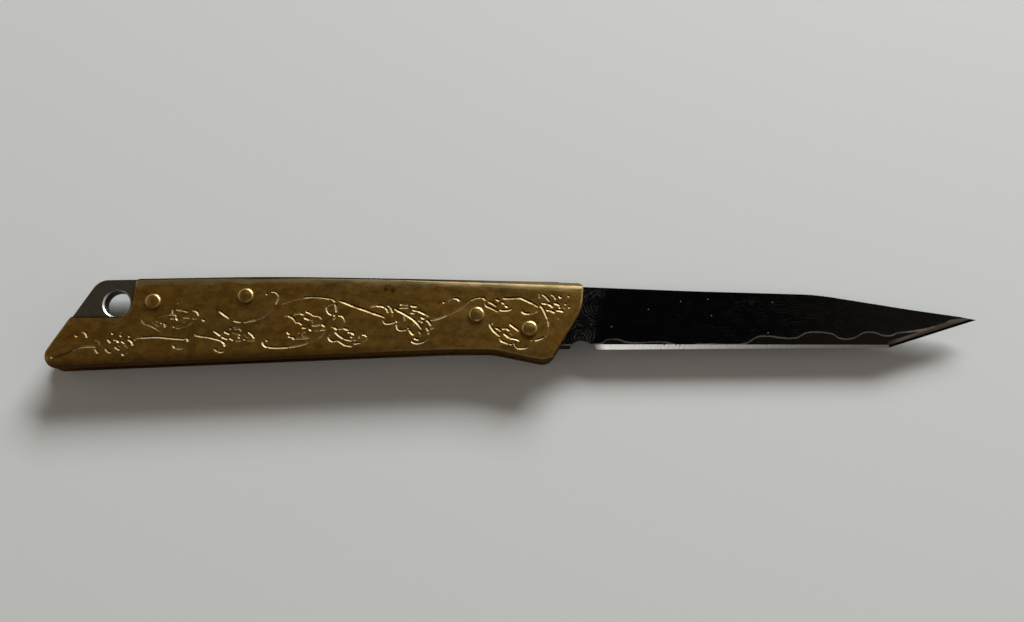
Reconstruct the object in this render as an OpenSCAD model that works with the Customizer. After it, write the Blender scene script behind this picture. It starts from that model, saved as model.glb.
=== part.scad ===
// Riveted brass folding knife with a steel back spring, drawn open.
// Drawing plane: pivot at the origin, +X to the blade's tip, +Y to the back,
// mid-plane of the blade at z = 0. place() moves it onto the surface it lies on.

/* [Handle] */
// Pivot back to the sharp lower corner of the tail
handle_back = 100.85; // [99:0.05:108]
// Pivot forward to the upper front corner
handle_front = 11.35; // [10.5:0.05:13]
// Pivot up to the back at the front corner
back_h = 10.08; // [9.6:0.02:11.2]
// Pivot up to the back at the tail's upper corner
tail_h = 10.54; // [9.6:0.02:11.6]
// Pivot back to the crown of the back
crown_back = 52.6; // [30:0.1:60]
// Pivot up to the crown, where the straight stretches of the back would meet
crown_h = 11.18; // [10.8:0.02:12.4]
// Radius of the crown
crown_r = 600; // [100:10:800]
// Pivot down to the lower edge behind the beak
belly_drop = 4.6; // [4.2:0.05:5.2]
// Pivot back to where the lower edge starts its fall towards the tail
belly_back = 16.4; // [13:0.1:24]
// Radius of the lower edge there
belly_r = 150; // [50:5:160]
// Pivot back to the hollow behind the beak
throat_back = 7.55; // [5:0.05:8.5]
// Radius of that hollow
throat_r = 14; // [6:0.5:18]
// Pivot down to the lower edge at the tail
tail_drop = 8.2; // [7:0.05:9.5]
// Slope of the slanted tail end against the lower edge
end_slant = 58.1; // [52:0.1:64]
// Radius of the lower tail corner
tail_low_r = 2.6; // [2:0.1:4]
// Radius of the upper tail corner
tail_up_r = 3.6; // [3:0.1:7]
// Radius of the upper front corner
front_r = 1.7; // [1.2:0.1:2.5]
// Pivot down to the sharp corner of the beak
beak_drop = 6.95; // [6.4:0.05:7.6]
// Pivot forward to the sharp corner of the beak
beak_x = 4.05; // [3.6:0.05:4.6]
// Radius of the beak
beak_r = 2.8; // [2:0.1:3.4]
// Pivot forward to the bend in the front edge
bend_x = 10.95; // [10.2:0.05:11.2]
// Pivot up to the bend in the front edge
bend_up = 4.25; // [3:0.05:5]
// Radius of the bend in the front edge
bend_r = 9; // [4:0.5:12]

/* [Scales] */
// Thickness of one brass scale
scale_t = 1.3; // [1:0.05:2.2]
// Radius of the worn edge round the outer face
edge_r = 0.7; // [0.3:0.05:0.8]
// Lanyard hole's centre to the step in the scale beside it
bare_side = 3.3; // [3:0.05:5]
// Lanyard hole's centre down to the step in the scale below it
bare_below = 2.9; // [2.9:0.05:4.5]
// Lean of the step beside the hole, measured at the back
bare_lean = 0.5; // [0:0.05:2]
// Inner radius of the step where it goes round the hole
bare_r = 3.0; // [2:0.05:3.2]
// Corner radius where the step meets the outline
lip_r = 1.0; // [0.85:0.05:1.6]

/* [Lanyard hole] */
// Pivot back to the lanyard hole
lanyard_back = 85.15; // [82:0.05:88]
// Pivot up to the lanyard hole
lanyard_up = 5.6; // [5:0.05:6.2]
// Bore of the lanyard hole
lanyard_d = 5.35; // [4:0.05:5.6]
// Chamfer at both mouths of the lanyard hole
lanyard_chamfer = 0.3; // [0.1:0.05:0.5]

/* [Blade] */
// Thickness of the blade at the tang
blade_t = 2.7; // [2:0.05:3.5]
// Pivot to the tip
blade_reach = 92.62; // [86:0.02:94]
// Pivot up to the tip
tip_up = 2.44; // [1.5:0.01:3]
// Pivot up to the spine where it leaves the handle
spine_h = 9.14; // [8.6:0.01:9.4]
// Pivot to the soft bend in the spine
spine_x = 34; // [20:0.5:45]
// Pivot up to that bend
spine_low = 8.27; // [8:0.01:8.5]
// Radius of that bend
spine_r = 400; // [50:10:800]
// Pivot to the start of the clipped point
clip_x = 59.4; // [52:0.1:66]
// Pivot up to the spine at the start of the clipped point
clip_h = 7.56; // [7:0.01:7.9]
// Radius where the spine turns down to the tip
clip_r = 55; // [5:1:100]
// Pivot to the hollow of the clipped point
hollow_x = 79; // [72:0.1:84]
// Pivot up to that hollow
hollow_h = 4.4; // [4.2:0.01:4.7]
// Radius of that hollow
hollow_r = 200; // [20:5:300]
// Pivot to the corner where the edge turns up to the tip
belly_x = 74.15; // [70:0.05:80]
// Pivot down to that corner
belly_low = 3.36; // [3:0.02:3.6]
// Pivot down to the edge at the heel
edge_drop = 3.8; // [3.6:0.02:4.2]
// Swell of the long edge over the straight line from heel to corner
edge_swell = 0.16; // [0.02:0.01:0.3]
// Pivot to the heel of the edge
heel_x = 13.25; // [13.2:0.05:15]
// Pivot down to the ledge between the notch and the heel
ledge_drop = 2.56; // [2.2:0.02:2.6]
// Rounding of the small corners of the blade
corner_r = 0.5; // [0.2:0.05:0.6]
// Radius of the round notch that meets the stop
notch_r = 2.4; // [2.3:0.05:2.7]
// Pivot to the foot of the plunge at the bevel, where the ground face starts
plunge_x = 12.7; // [12.5:0.05:13.1]
// Lean of the plunge towards the tip
plunge_lean = 12.5; // [6:0.5:16]
// Radius of the plunge
plunge_r = 1.4; // [1:0.1:2]
// Half thickness of the ground face at the bevel by the heel
bevel_half = 0.33; // [0.2:0.01:0.45]
// Height of the bevel at the heel
bevel_h = 1.06; // [0.8:0.01:1.5]
// Thinning of each ground face towards the tip, per millimetre
distal_taper = 0.0025; // [0:0.0001:0.004]
// Angle between the flat and the middle at the short tip edge
tip_bevel_deg = 22; // [15:0.5:30]

/* [Tang] */
// Pivot to each of the tang's two flats
flat_h = 3.25; // [3.1:0.05:3.6]
// Rise of the tang's round end over its flats, which lifts the spring
tang_lift = 0.75; // [0.4:0.05:1.2]
// Pivot forward to the shoulder that rests on the spring when open
shoulder_x = 6.08; // [5:0.02:7]
// Swing from open to closed
close_deg = 178.5; // [177:0.1:180]

/* [Back spring] */
// Room between the spring's seat and the stop
stop_room = 0.5; // [0.3:0.05:0.8]
// Pivot up to the underside of the thin arm
arm_low = 6.7; // [6:0.05:7.4]
// Middle pin forward to the end of the thin arm
arm_gap = 8.2; // [5:0.1:12]
// Middle pin down to the underside of the block that it holds
block_wall = 3.7; // [2:0.05:3.8]
// Length of the slope from the arm down to the block
block_ramp = 5; // [3:0.1:6]
// Lanyard hole's centre down to the underside of the tail
tail_wall = 5.3; // [4:0.05:6]
// Rounding of the spring's inner bends
spring_r = 4; // [2:0.1:5]
// Rounding of the spring's corners at the seat
seat_r = 0.3; // [0.1:0.05:0.4]

/* [Pins] */
// Pivot back to the stop pin
stop_back = 10.8; // [10.6:0.01:11]
// Pivot up to the stop pin
stop_up = 2.91; // [2.7:0.01:3]
// Pivot back to the middle pin
middle_back = 58.2; // [56:0.05:64]
// Pivot up to the middle pin
middle_up = 6.84; // [6.4:0.02:7.2]
// Pivot back to the tail pin
tail_pin_back = 77.15; // [76:0.05:78]
// Pivot up to the tail pin
tail_pin_up = 5.65; // [5:0.05:6.5]
// Diameter of every pin
pin_d = 1.8; // [1.4:0.05:2.1]
// Diameter of a pin's peened head
head_d = 2.0; // [1.6:0.05:2.4]
// Height of a pin's peened head above its rosette
head_h = 0.18; // [0.1:0.01:0.3]
// Height of a peened head at its rim
head_rim = 0.06; // [0.02:0.01:0.08]
// Diameter of a rosette
rosette_d = 3.4; // [3:0.05:4.2]
// Height of a rosette's seat for the head
rosette_h = 0.55; // [0.4:0.01:0.8]
// Height of a rosette's straight rim
rim_h = 0.16; // [0.05:0.01:0.25]
// Width of the ring on a rosette round the head
seat_ring = 0.05; // [0.02:0.01:0.2]
// Outer diameter of the bush that the blade turns on
bush_d = 3.7; // [3.2:0.05:4.2]
// Outer diameter of the sleeve on the stop pin
sleeve_d = 3.0; // [2.6:0.05:3.1]
// Tang's flats to the rim of a washer
washer_rim = 0.1; // [0.05:0.05:0.4]
// Thickness of a washer
washer_t = 0.18; // [0.1:0.01:0.4]

/* [Clearances] */
// Gap round a pin in its hole, on the radius
pin_clear = 0.02; // [0.01:0.005:0.03]
// Gap between the bush and what turns on it, on the radius
turn_clear = 0.03; // [0.02:0.005:0.06]
// Gap between a washer and the blade
side_play = 0.02; // [0.01:0.005:0.05]
// Gap between the tang and the spring, and between the notch and the stop
rest_gap = 0.02; // [0.01:0.005:0.05]

/* [Hidden] */
$fn = 96;

// Places of the pins and the hole in the drawing plane
pivot_at = [0, 0];
stop_at = [-stop_back, stop_up];
middle_at = [-middle_back, middle_up];
tail_at = [-tail_pin_back, tail_pin_up];
pins_at = [pivot_at, stop_at, middle_at, tail_at];
lanyard_at = [-lanyard_back, lanyard_up];

// Heights above and below the blade's mid-plane
slot_w = blade_t + 2 * (washer_t + side_play);
inner_z = slot_w / 2;
face_z = inner_z + scale_t;
seat_z = face_z + rosette_h;
top_z = seat_z + head_h;

// Reach of the cutting shapes: past everything, and just past a face
far = 200;
over = 1;

// Straight line through p with direction angle a meets the line through q with angle b
function meet(p, a, q, b) =
    let (t = ((q[0] - p[0]) * sin(b) - (q[1] - p[1]) * cos(b)) / sin(b - a))
    p + t * [cos(a), sin(a)];
function unit(v) = v / norm(v);
function cross2(u, v) = u[0] * v[1] - u[1] * v[0];
function turned(p, a) = [p[0] * cos(a) - p[1] * sin(a), p[0] * sin(a) + p[1] * cos(a)];
function wrap(a) = a > 180 ? a - 360 : a < -180 ? a + 360 : a;

// Points of a rounded corner b between a and c, from its radius and its number of steps
function corner_arc(a, b, c, r, n) =
    let (
        u = unit(a - b),
        v = unit(c - b),
        half = acos(u * v) / 2,
        centre = b + unit(u + v) * r / sin(half),
        start = b + u * r / tan(half) - centre,
        stop = b + v * r / tan(half) - centre,
        first = atan2(start[1], start[0]),
        sweep = wrap(atan2(stop[1], stop[0]) - first)
    )
    [for (i = [0:n]) centre + r * [cos(first + sweep * i / n), sin(first + sweep * i / n)]];

// An outline is a clockwise list of corners: x, y, radius, number of steps
function spot(c) = [c[0], c[1]];
function next(c, i) = spot(c[(i + 1) % len(c)]);
function prior(c, i) = spot(c[(i + len(c) - 1) % len(c)]);
function outline(c) = [
    for (i = [0:len(c) - 1])
        for (p = c[i][2] > 0 ? corner_arc(prior(c, i), spot(c[i]), next(c, i), c[i][2], c[i][3])
                             : [spot(c[i])])
            p
];

// The same outline drawn in by d, with every rounding kept parallel
function inset_corner(c, i, d) =
    let (
        e = unit(spot(c[i]) - prior(c, i)),
        f = unit(next(c, i) - spot(c[i])),
        m = [e[1], -e[0]],
        n = [f[1], -f[0]],
        p = spot(c[i]) + d * (m + n) / (1 + m * n),
        side = cross2(e, f) < 0 ? -1 : 1
    )
    [p[0], p[1], c[i][2] + side * d, c[i][3]];
function inset(c, d) = [for (i = [0:len(c) - 1]) inset_corner(c, i, d)];

// Corners of the handle
bend_steps = 6;
round_steps = 10;
belly_turn = [-belly_back, -belly_drop];
tail_low_at = [-handle_back, -tail_drop];
tail_up_at = meet(tail_low_at, end_slant, [0, tail_h], 0);
crown_at = [-crown_back, crown_h];
front_corners = [
    [handle_front, back_h, front_r, round_steps],
    [bend_x, bend_up, bend_r, bend_steps],
    [beak_x, -beak_drop, beak_r, round_steps],
    [-throat_back, -belly_drop, throat_r, bend_steps],
    [belly_turn[0], belly_turn[1], belly_r, bend_steps],
    [tail_low_at[0], tail_low_at[1], tail_low_r, round_steps]
];
crown_corner = [crown_at[0], crown_at[1], crown_r, round_steps];
handle_corners = concat(
    [[tail_up_at[0], tail_up_at[1], tail_up_r, round_steps], crown_corner],
    front_corners
);

// Corners of a scale, which leaves the tail's upper corner bare
lip_side = [-lanyard_back + bare_side, lanyard_up - bare_below];
lip_end = meet(tail_low_at, end_slant, lip_side, 0);
lip_lean = atan2(back_h - lip_side[1], bare_lean);
tail_rise = atan2(crown_h - tail_h, crown_at[0] - tail_up_at[0]);
lip_top = meet(lip_side, lip_lean, tail_up_at, tail_rise);
scale_corners = concat(
    [
        [lip_end[0], lip_end[1], lip_r, bend_steps],
        [lip_side[0], lip_side[1], bare_r, round_steps],
        [lip_top[0], lip_top[1], lip_r, bend_steps],
        crown_corner
    ],
    front_corners
);

// Corners of the space under the handle's back that the spring fills
seat_h = flat_h + rest_gap;
spring_front = shoulder_x - 2 * rest_gap;
seat_back = stop_back - sleeve_d / 2 - stop_room;
arm_back = middle_back - arm_gap;
block_low = middle_up - block_wall;
tail_low = lanyard_up - tail_wall;
block_end = (middle_back + tail_pin_back) / 2;
tail_start = (tail_pin_back + lanyard_back) / 2;
spring_corners = [
    [spring_front, far, 0, 0],
    [spring_front, seat_h, seat_r, bend_steps],
    [-seat_back, seat_h, seat_r, bend_steps],
    [-seat_back - stop_room, arm_low, spring_r / 2, bend_steps],
    [-arm_back, arm_low, spring_r, bend_steps],
    [-arm_back - block_ramp, block_low, spring_r, bend_steps],
    [-block_end, block_low, spring_r, bend_steps],
    [-tail_start, tail_low, spring_r, bend_steps],
    [-far, tail_low, 0, 0],
    [-far, far, 0, 0]
];

// The notch is struck so that its roof lands on the stop sleeve at the end of the swing
stop_met = turned(stop_at, close_deg);
notch_at = stop_met + [0, sleeve_d / 2 + rest_gap - notch_r];

// Corners of the blade's side view; the tang's flats face the spring when open and when closed
tang_r = flat_h + tang_lift;
flat_reach = acos(flat_h / tang_r);
kick_dir = 90 + close_deg;
kick_at = flat_h * [cos(kick_dir), sin(kick_dir)];
kick_end = meet(kick_at, kick_dir + 90, notch_at, 90);
spine_slope = atan2(spine_low - spine_h, spine_x - handle_front);
shoulder_top = meet([spine_x, spine_low], spine_slope, [shoulder_x, 0], 90);
edge_mid = [(heel_x + belly_x) / 2, -(edge_drop + belly_low) / 2 - edge_swell];
swell_r = 500;
tang_steps = 24;
tang_from = kick_dir - flat_reach;
tang_to = 90 + flat_reach;
blade_corners = concat(
    [
        [shoulder_x, flat_h, corner_r / 4, bend_steps],
        [shoulder_top[0], shoulder_top[1], corner_r, bend_steps],
        [spine_x, spine_low, spine_r, bend_steps],
        [clip_x, clip_h, clip_r, bend_steps],
        [hollow_x, hollow_h, hollow_r, bend_steps],
        [blade_reach, tip_up, 0, 0],
        [belly_x, -belly_low, corner_r, bend_steps],
        [edge_mid[0], edge_mid[1], swell_r, bend_steps],
        [heel_x + corner_r, -edge_drop, corner_r, bend_steps],
        [heel_x, -ledge_drop, corner_r / 4, bend_steps],
        [notch_at[0], -ledge_drop, 0, 0],
        [kick_end[0], kick_end[1], 0, 0]
    ],
    [
        for (i = [0:tang_steps])
            let (a = tang_from + (tang_to - tang_from) * i / tang_steps)
            [tang_r * cos(a), tang_r * sin(a), 0, 0]
    ]
);
blade_points = outline(blade_corners);

// Rise of a ground face from the bevel to the spine, and the slopes of the edges
face_rise = (blade_t / 2 - bevel_half) / (spine_h + edge_drop - bevel_h);
bevel_line = -edge_drop + bevel_h;
bevel_deg = atan(bevel_half / bevel_h);
tip_slope = atan2(tip_up + belly_low, blade_reach - belly_x);
edge_slope = atan2(edge_drop - belly_low, belly_x - heel_x);

// Extents of the side view, for the origin under the middle
handle_points = outline(handle_corners);
x_low = min([for (p = handle_points) p[0]]);
y_low = min([for (p = handle_points) p[1]]);
y_high = max([for (p = handle_points) p[1]]);
shift = [-(x_low + blade_reach) / 2, -(y_low + y_high) / 2, top_z];

module place() {
    translate(shift) children();
}

module at_pin(at, h) {
    translate([at[0], at[1], -h]) children();
}

// Points along the inside of a scale, for the triangles of its flat faces
rib_start = -92;
rib_step = 4;
rib_count = 25;
rib = [for (k = [0:rib_count - 1]) [rib_start + rib_step * k, -1]];
function near_rib(p) =
    let (gaps = [for (q = rib) abs(p[0] - q[0])])
    search(min(gaps), gaps)[0];

// Plate with a rounded outer edge, its inner face down at z = 0
module rounded_plate(corners, t, r) {
    steps = 4;
    levels = concat(
        [[0, 0]],
        [for (i = [0:steps]) let (a = 90 * i / steps) [t - r + r * sin(a), r - r * cos(a)]]
    );
    rings = [
        for (l = levels)
            [for (p = outline(inset(corners, l[1]))) [p[0], p[1], l[0]]]
    ];
    count = len(rings[0]);
    last = len(rings) - 1;
    low_rib = (last + 1) * count;
    high_rib = low_rib + rib_count;
    polyhedron(
        points = concat(
            [for (ring = rings) each ring],
            [for (q = rib) [q[0], q[1], 0]],
            [for (q = rib) [q[0], q[1], t]]
        ),
        faces = concat(
            [
                for (i = [0:count - 1])
                    let (
                        j = (i + 1) % count,
                        a = near_rib(rings[last][i]),
                        b = near_rib(rings[last][j])
                    )
                    concat(
                        [last * count + j],
                        [for (k = [b:(a < b ? -1 : 1):a]) high_rib + k],
                        [last * count + i]
                    )
            ],
            [
                for (i = [0:count - 1])
                    let (
                        j = (i + 1) % count,
                        a = near_rib(rings[0][i]),
                        b = near_rib(rings[0][j])
                    )
                    concat([i], [for (k = [a:(b < a ? -1 : 1):b]) low_rib + k], [j])
            ],
            [
                for (k = [0:last - 1])
                    for (i = [0:count - 1])
                        let (j = (i + 1) % count)
                        [k * count + i, k * count + j, (k + 1) * count + j, (k + 1) * count + i]
            ]
        ),
        convexity = 6
    );
}

module pin_holes() {
    for (at = pins_at)
        at_pin(at, face_z + over) cylinder(h = 2 * (face_z + over), d = pin_d + 2 * pin_clear);
}

module plate() {
    difference() {
        translate([0, 0, inner_z]) rounded_plate(scale_corners, scale_t, edge_r);
        pin_holes();
    }
}

module scale_front() {
    color([0.72, 0.56, 0.24]) place() plate();
}

module scale_rear() {
    color([0.72, 0.56, 0.24]) place() mirror([0, 0, 1]) plate();
}

module lanyard_bore() {
    mouth = lanyard_d / 2 + lanyard_chamfer;
    at_pin(lanyard_at, inner_z + over) cylinder(h = slot_w + 2 * over, d = lanyard_d);
    for (s = [0, 1])
        mirror([0, 0, s])
            translate([lanyard_at[0], lanyard_at[1], inner_z - lanyard_chamfer])
                cylinder(h = 2 * lanyard_chamfer, r1 = lanyard_d / 2, r2 = mouth + lanyard_chamfer);
}

module backspring() {
    color([0.5, 0.49, 0.47]) place() difference() {
        linear_extrude(height = slot_w, center = true) intersection() {
            polygon(handle_points);
            polygon(outline(spring_corners));
        }
        for (at = [middle_at, tail_at])
            at_pin(at, inner_z + over) cylinder(h = slot_w + 2 * over, d = pin_d + 2 * pin_clear);
        lanyard_bore();
    }
}

// Half space outside a ground face, from the plunge to beyond the tip
module grind_cut() {
    translate([plunge_x, bevel_line, bevel_half])
        rotate([atan(face_rise), 0, 0])
            rotate([0, atan(distal_taper), -plunge_lean]) {
                translate([0, -far, 0]) cube([far, 2 * far, far]);
                translate([0, -far, plunge_r])
                    rotate([-90, 0, 0]) cylinder(h = 2 * far, r = plunge_r);
            }
}

// Half space outside the long edge's bevel
module edge_cut() {
    translate([heel_x, -edge_drop, 0])
        rotate([0, 0, edge_slope])
            rotate([bevel_deg, 0, 0])
                translate([-over, -far, 0]) cube([far + over, 2 * far, far]);
}

// Half space outside the short tip edge's bevel
module tip_cut() {
    translate([belly_x, -belly_low, 0])
        rotate([0, 0, tip_slope])
            rotate([tip_bevel_deg, 0, 0])
                translate([-far / 2, -far, 0]) cube([far, 2 * far, far]);
}

module blade() {
    color([0.08, 0.08, 0.09]) place() difference() {
        linear_extrude(height = blade_t, center = true) polygon(blade_points);
        at_pin(pivot_at, blade_t) cylinder(h = 2 * blade_t, d = bush_d + 2 * turn_clear);
        at_pin(notch_at, blade_t) cylinder(h = 2 * blade_t, r = notch_r);
        for (s = [0, 1]) mirror([0, 0, s]) {
            grind_cut();
            edge_cut();
            tip_cut();
        }
    }
}

module tube(at, low, high, outer, inner) {
    translate([at[0], at[1], low]) difference() {
        cylinder(h = high - low, d = outer);
        translate([0, 0, -over]) cylinder(h = high - low + 2 * over, d = inner);
    }
}

module pivot_bush() {
    color([0.62, 0.42, 0.2])
        place() tube(pivot_at, -inner_z, inner_z, bush_d, pin_d + 2 * pin_clear);
}

module washer() {
    rim = 2 * (flat_h - washer_rim);
    tube(pivot_at, inner_z - washer_t, inner_z, rim, bush_d + 2 * turn_clear);
}

module washer_front() {
    color([0.62, 0.42, 0.2]) place() washer();
}

module washer_rear() {
    color([0.62, 0.42, 0.2]) place() mirror([0, 0, 1]) washer();
}

module stop_sleeve() {
    color([0.45, 0.45, 0.46])
        place() tube(stop_at, -inner_z, inner_z, sleeve_d, pin_d + 2 * pin_clear);
}

// Height of the centre of a ball through radius base_r at height low and radius top_r at height high
function dome_z(base_r, low, top_r, high) =
    (high + low - (base_r * base_r - top_r * top_r) / (high - low)) / 2;

// Low dome over a straight rim
module dome(base_r, low, top_r, high) {
    centre = dome_z(base_r, low, top_r, high);
    intersection() {
        cylinder(h = high, r = base_r);
        translate([0, 0, centre]) sphere(r = norm([base_r, low - centre]));
    }
}

// Straight pin with a low peened head at each end
module pin(at) {
    color([0.76, 0.6, 0.27]) place() at_pin(at, 0) {
        cylinder(h = 2 * seat_z, d = pin_d, center = true);
        for (s = [0, 1]) mirror([0, 0, s])
            translate([0, 0, seat_z]) dome(head_d / 2, head_rim, 0, head_h);
    }
}

module pivot_pin() {
    pin(pivot_at);
}

module stop_pin() {
    pin(stop_at);
}

module middle_pin() {
    pin(middle_at);
}

module tail_pin() {
    pin(tail_at);
}

// Domed collar under a pin's head; side is 0 on the front, 1 on the rear
module rosette(at, side) {
    color([0.76, 0.6, 0.27]) place() mirror([0, 0, side])
        translate([at[0], at[1], face_z]) difference() {
            dome(rosette_d / 2, rim_h, head_d / 2 + seat_ring, rosette_h);
            translate([0, 0, -over])
                cylinder(h = rosette_h + 2 * over, d = pin_d + 2 * pin_clear);
        }
}

scale_front();
scale_rear();
backspring();
blade();
pivot_bush();
washer_front();
washer_rear();
pivot_pin();
stop_pin();
stop_sleeve();
middle_pin();
tail_pin();
rosette(pivot_at, 0);  // rosette_pivot_front
rosette(pivot_at, 1);  // rosette_pivot_rear
rosette(stop_at, 0);  // rosette_stop_front
rosette(stop_at, 1);  // rosette_stop_rear
rosette(middle_at, 0);  // rosette_middle_front
rosette(middle_at, 1);  // rosette_middle_rear
rosette(tail_at, 0);  // rosette_tail_front
rosette(tail_at, 1);  // rosette_tail_rear
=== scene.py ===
"""Looks of a folding pocket knife with engraved brass scales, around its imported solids.

The scales carry a vine scroll that is cut into a copy of the solid front plate, the rosettes and
pins are turned finer than the solids, and every other piece keeps its solid and gets a finish of
its own. Lengths are metres in the frame of the solids, or millimetres where they are named so.
"""

import functools
import logging
import math
from dataclasses import dataclass
from enum import Enum

import bpy
from mathutils import Matrix, Vector


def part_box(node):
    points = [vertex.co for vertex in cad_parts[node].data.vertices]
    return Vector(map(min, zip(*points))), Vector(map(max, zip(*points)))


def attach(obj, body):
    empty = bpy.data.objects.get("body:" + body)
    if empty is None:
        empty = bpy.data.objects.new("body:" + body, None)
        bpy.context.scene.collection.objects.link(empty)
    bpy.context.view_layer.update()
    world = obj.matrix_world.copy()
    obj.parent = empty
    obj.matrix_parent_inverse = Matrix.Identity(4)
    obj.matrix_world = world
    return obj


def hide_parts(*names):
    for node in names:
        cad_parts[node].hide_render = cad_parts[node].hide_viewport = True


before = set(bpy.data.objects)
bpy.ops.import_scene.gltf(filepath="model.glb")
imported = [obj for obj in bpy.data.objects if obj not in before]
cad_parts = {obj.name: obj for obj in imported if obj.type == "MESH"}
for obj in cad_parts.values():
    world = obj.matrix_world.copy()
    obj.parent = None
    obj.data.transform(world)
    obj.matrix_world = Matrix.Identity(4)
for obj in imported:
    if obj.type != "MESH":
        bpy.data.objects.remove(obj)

logging.basicConfig(level=logging.INFO, format="%(message)s")
LOG = logging.getLogger("knife")

MM = 0.001
MERGE_GAP = 1e-7
NOISE_MIDDLE = 0.5
REAR_FACE, FRONT_FACE = 0.73, 6.43  # heights of the handle's two brass faces, in millimetres
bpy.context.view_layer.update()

Point = tuple[float, float]
Triple = tuple[float, float, float]
Colour = Triple
Ramp = tuple[float, ...]
Path = list[tuple[Vector, float]]
Box = tuple[float, float, float, float]
Socket = bpy.types.NodeSocket


# ---------------------------------------------------------------- places


@dataclass(frozen=True)
class PhotoPlane:
    """The camera that took the photograph, and places on the brass face read through it."""

    focal_px: float = 1010.0
    centre: Point = (511.5, 310.5)
    width_px: int = 1024
    tilt: float = math.atan(221.5 / 1010.0)
    height: float = 202.0
    eye: Point = (-0.5583, -42.115)

    def place(self, px: float, py: float, depth: float = 0.0) -> Vector:
        """Turns a pixel into a point of the brass face, or of a level below it.

        Args:
            px: Column of the pixel.
            py: Row of the pixel.
            depth: Depth of the level below the brass face, in millimetres.

        Returns:
            The point in metres.
        """
        across = (px - self.centre[0]) / self.focal_px
        up = (self.centre[1] - py) / self.focal_px
        reach = (self.height + depth) / (math.cos(self.tilt) - up * math.sin(self.tilt))
        x = across * reach + self.eye[0]
        y = (math.sin(self.tilt) + up * math.cos(self.tilt)) * reach + self.eye[1]
        return Vector((x, y, FRONT_FACE - depth)) * MM

    def camera(self) -> None:
        """Makes the photograph's camera the scene's camera."""
        data = bpy.data.cameras.new("photo_camera")
        data.sensor_fit = "HORIZONTAL"
        data.sensor_width = 36.0
        data.lens = self.focal_px / self.width_px * data.sensor_width
        data.clip_start = 0.005
        data.clip_end = 50.0
        shot = add("photo_camera", data)
        shot.location = Vector((*self.eye, FRONT_FACE + self.height)) * MM
        shot.rotation_euler = (self.tilt, 0.0, 0.0)
        bpy.context.scene.camera = shot


PLANE = PhotoPlane()


# ---------------------------------------------------------------- operator helpers


def add(name: str, data: bpy.types.ID) -> bpy.types.Object:
    """Puts a new object into the scene.

    Args:
        name: The object's name.
        data: The mesh, curve, lamp or camera that it shows.

    Returns:
        The new object.
    """
    made = bpy.data.objects.new(name, data)
    bpy.context.scene.collection.objects.link(made)
    return made


def only(piece: bpy.types.Object) -> bpy.types.Object:
    """Makes one object the selected and active one.

    Args:
        piece: The object to select.

    Returns:
        The same object.
    """
    bpy.ops.object.select_all(action="DESELECT")
    piece.select_set(True)
    bpy.context.view_layer.objects.active = piece
    return piece


def copied(piece: bpy.types.Object) -> bpy.types.Object:
    """Copies an object together with its mesh.

    Args:
        piece: The object to copy.

    Returns:
        The copy, in the scene.
    """
    made = piece.copy()
    made.data = piece.data.copy()
    bpy.context.scene.collection.objects.link(made)
    return made


def modify(piece: bpy.types.Object, kind: str, **settings: object) -> None:
    """Adds a modifier to a piece and applies it.

    Args:
        piece: The mesh object to change.
        kind: The modifier's type.
        settings: Properties to set on it.
    """
    only(piece)
    step = piece.modifiers.new("step", kind)
    for key, value in settings.items():
        setattr(step, key, value)
    bpy.ops.object.modifier_apply(modifier="step")


def settle(piece: bpy.types.Object, name: str) -> bpy.types.Object:
    """Names a piece and moves its place, turn and scale into its mesh.

    Args:
        piece: The object to finish.
        name: The name that it and its mesh get.

    Returns:
        The same object, at the origin.
    """
    only(piece)
    bpy.ops.object.transform_apply(location=True, rotation=True, scale=True)
    piece.name = name
    piece.data.name = name
    return piece


def tidy_mesh(piece: bpy.types.Object) -> None:
    """Merges doubled points and turns the faces outwards.

    Args:
        piece: The mesh object to mend.
    """
    only(piece)
    bpy.ops.object.mode_set(mode="EDIT")
    bpy.ops.mesh.select_all(action="SELECT")
    bpy.ops.mesh.remove_doubles(threshold=MERGE_GAP)
    bpy.ops.mesh.normals_make_consistent(inside=False)
    bpy.ops.object.mode_set(mode="OBJECT")


def smooth(piece: bpy.types.Object, degrees: float) -> None:
    """Shades a piece smooth, but for the edges that turn by more than an angle."""
    only(piece)
    bpy.ops.object.shade_smooth_by_angle(angle=math.radians(degrees))


def dress(piece: bpy.types.Object, material: bpy.types.Material) -> None:
    """Gives a piece one material in all its slots.

    Args:
        piece: The mesh object to dress.
        material: The finish that it gets.
    """
    if not piece.material_slots:
        piece.data.materials.append(material)
    for slot in piece.material_slots:
        slot.material = material
    LOG.info("%s: %s, %d faces", piece.name, material.name, len(piece.data.polygons))


# ---------------------------------------------------------------- node helper


@dataclass(frozen=True)
class Mottle:
    """A noise pattern on a piece.

    Attributes:
        stretch: Pattern lengths per millimetre along each axis.
        detail: Number of finer layers.
        rough: Strength of the finer layers.
        warp: How far the noise distorts itself.
        scale: How many cells a pattern length has.
        turn: Turn about Z in degrees.
        shift: Offset that picks another part of the noise.
        reach: The values that become 0 and 1, and then what they become instead, if anything.
    """

    stretch: Triple = (1.0, 1.0, 1.0)
    detail: float = 3.0
    rough: float = 0.6
    warp: float = 0.0
    scale: float = 1.0
    turn: float = 0.0
    shift: Triple = (0.0, 0.0, 0.0)
    reach: Ramp = ()


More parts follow.
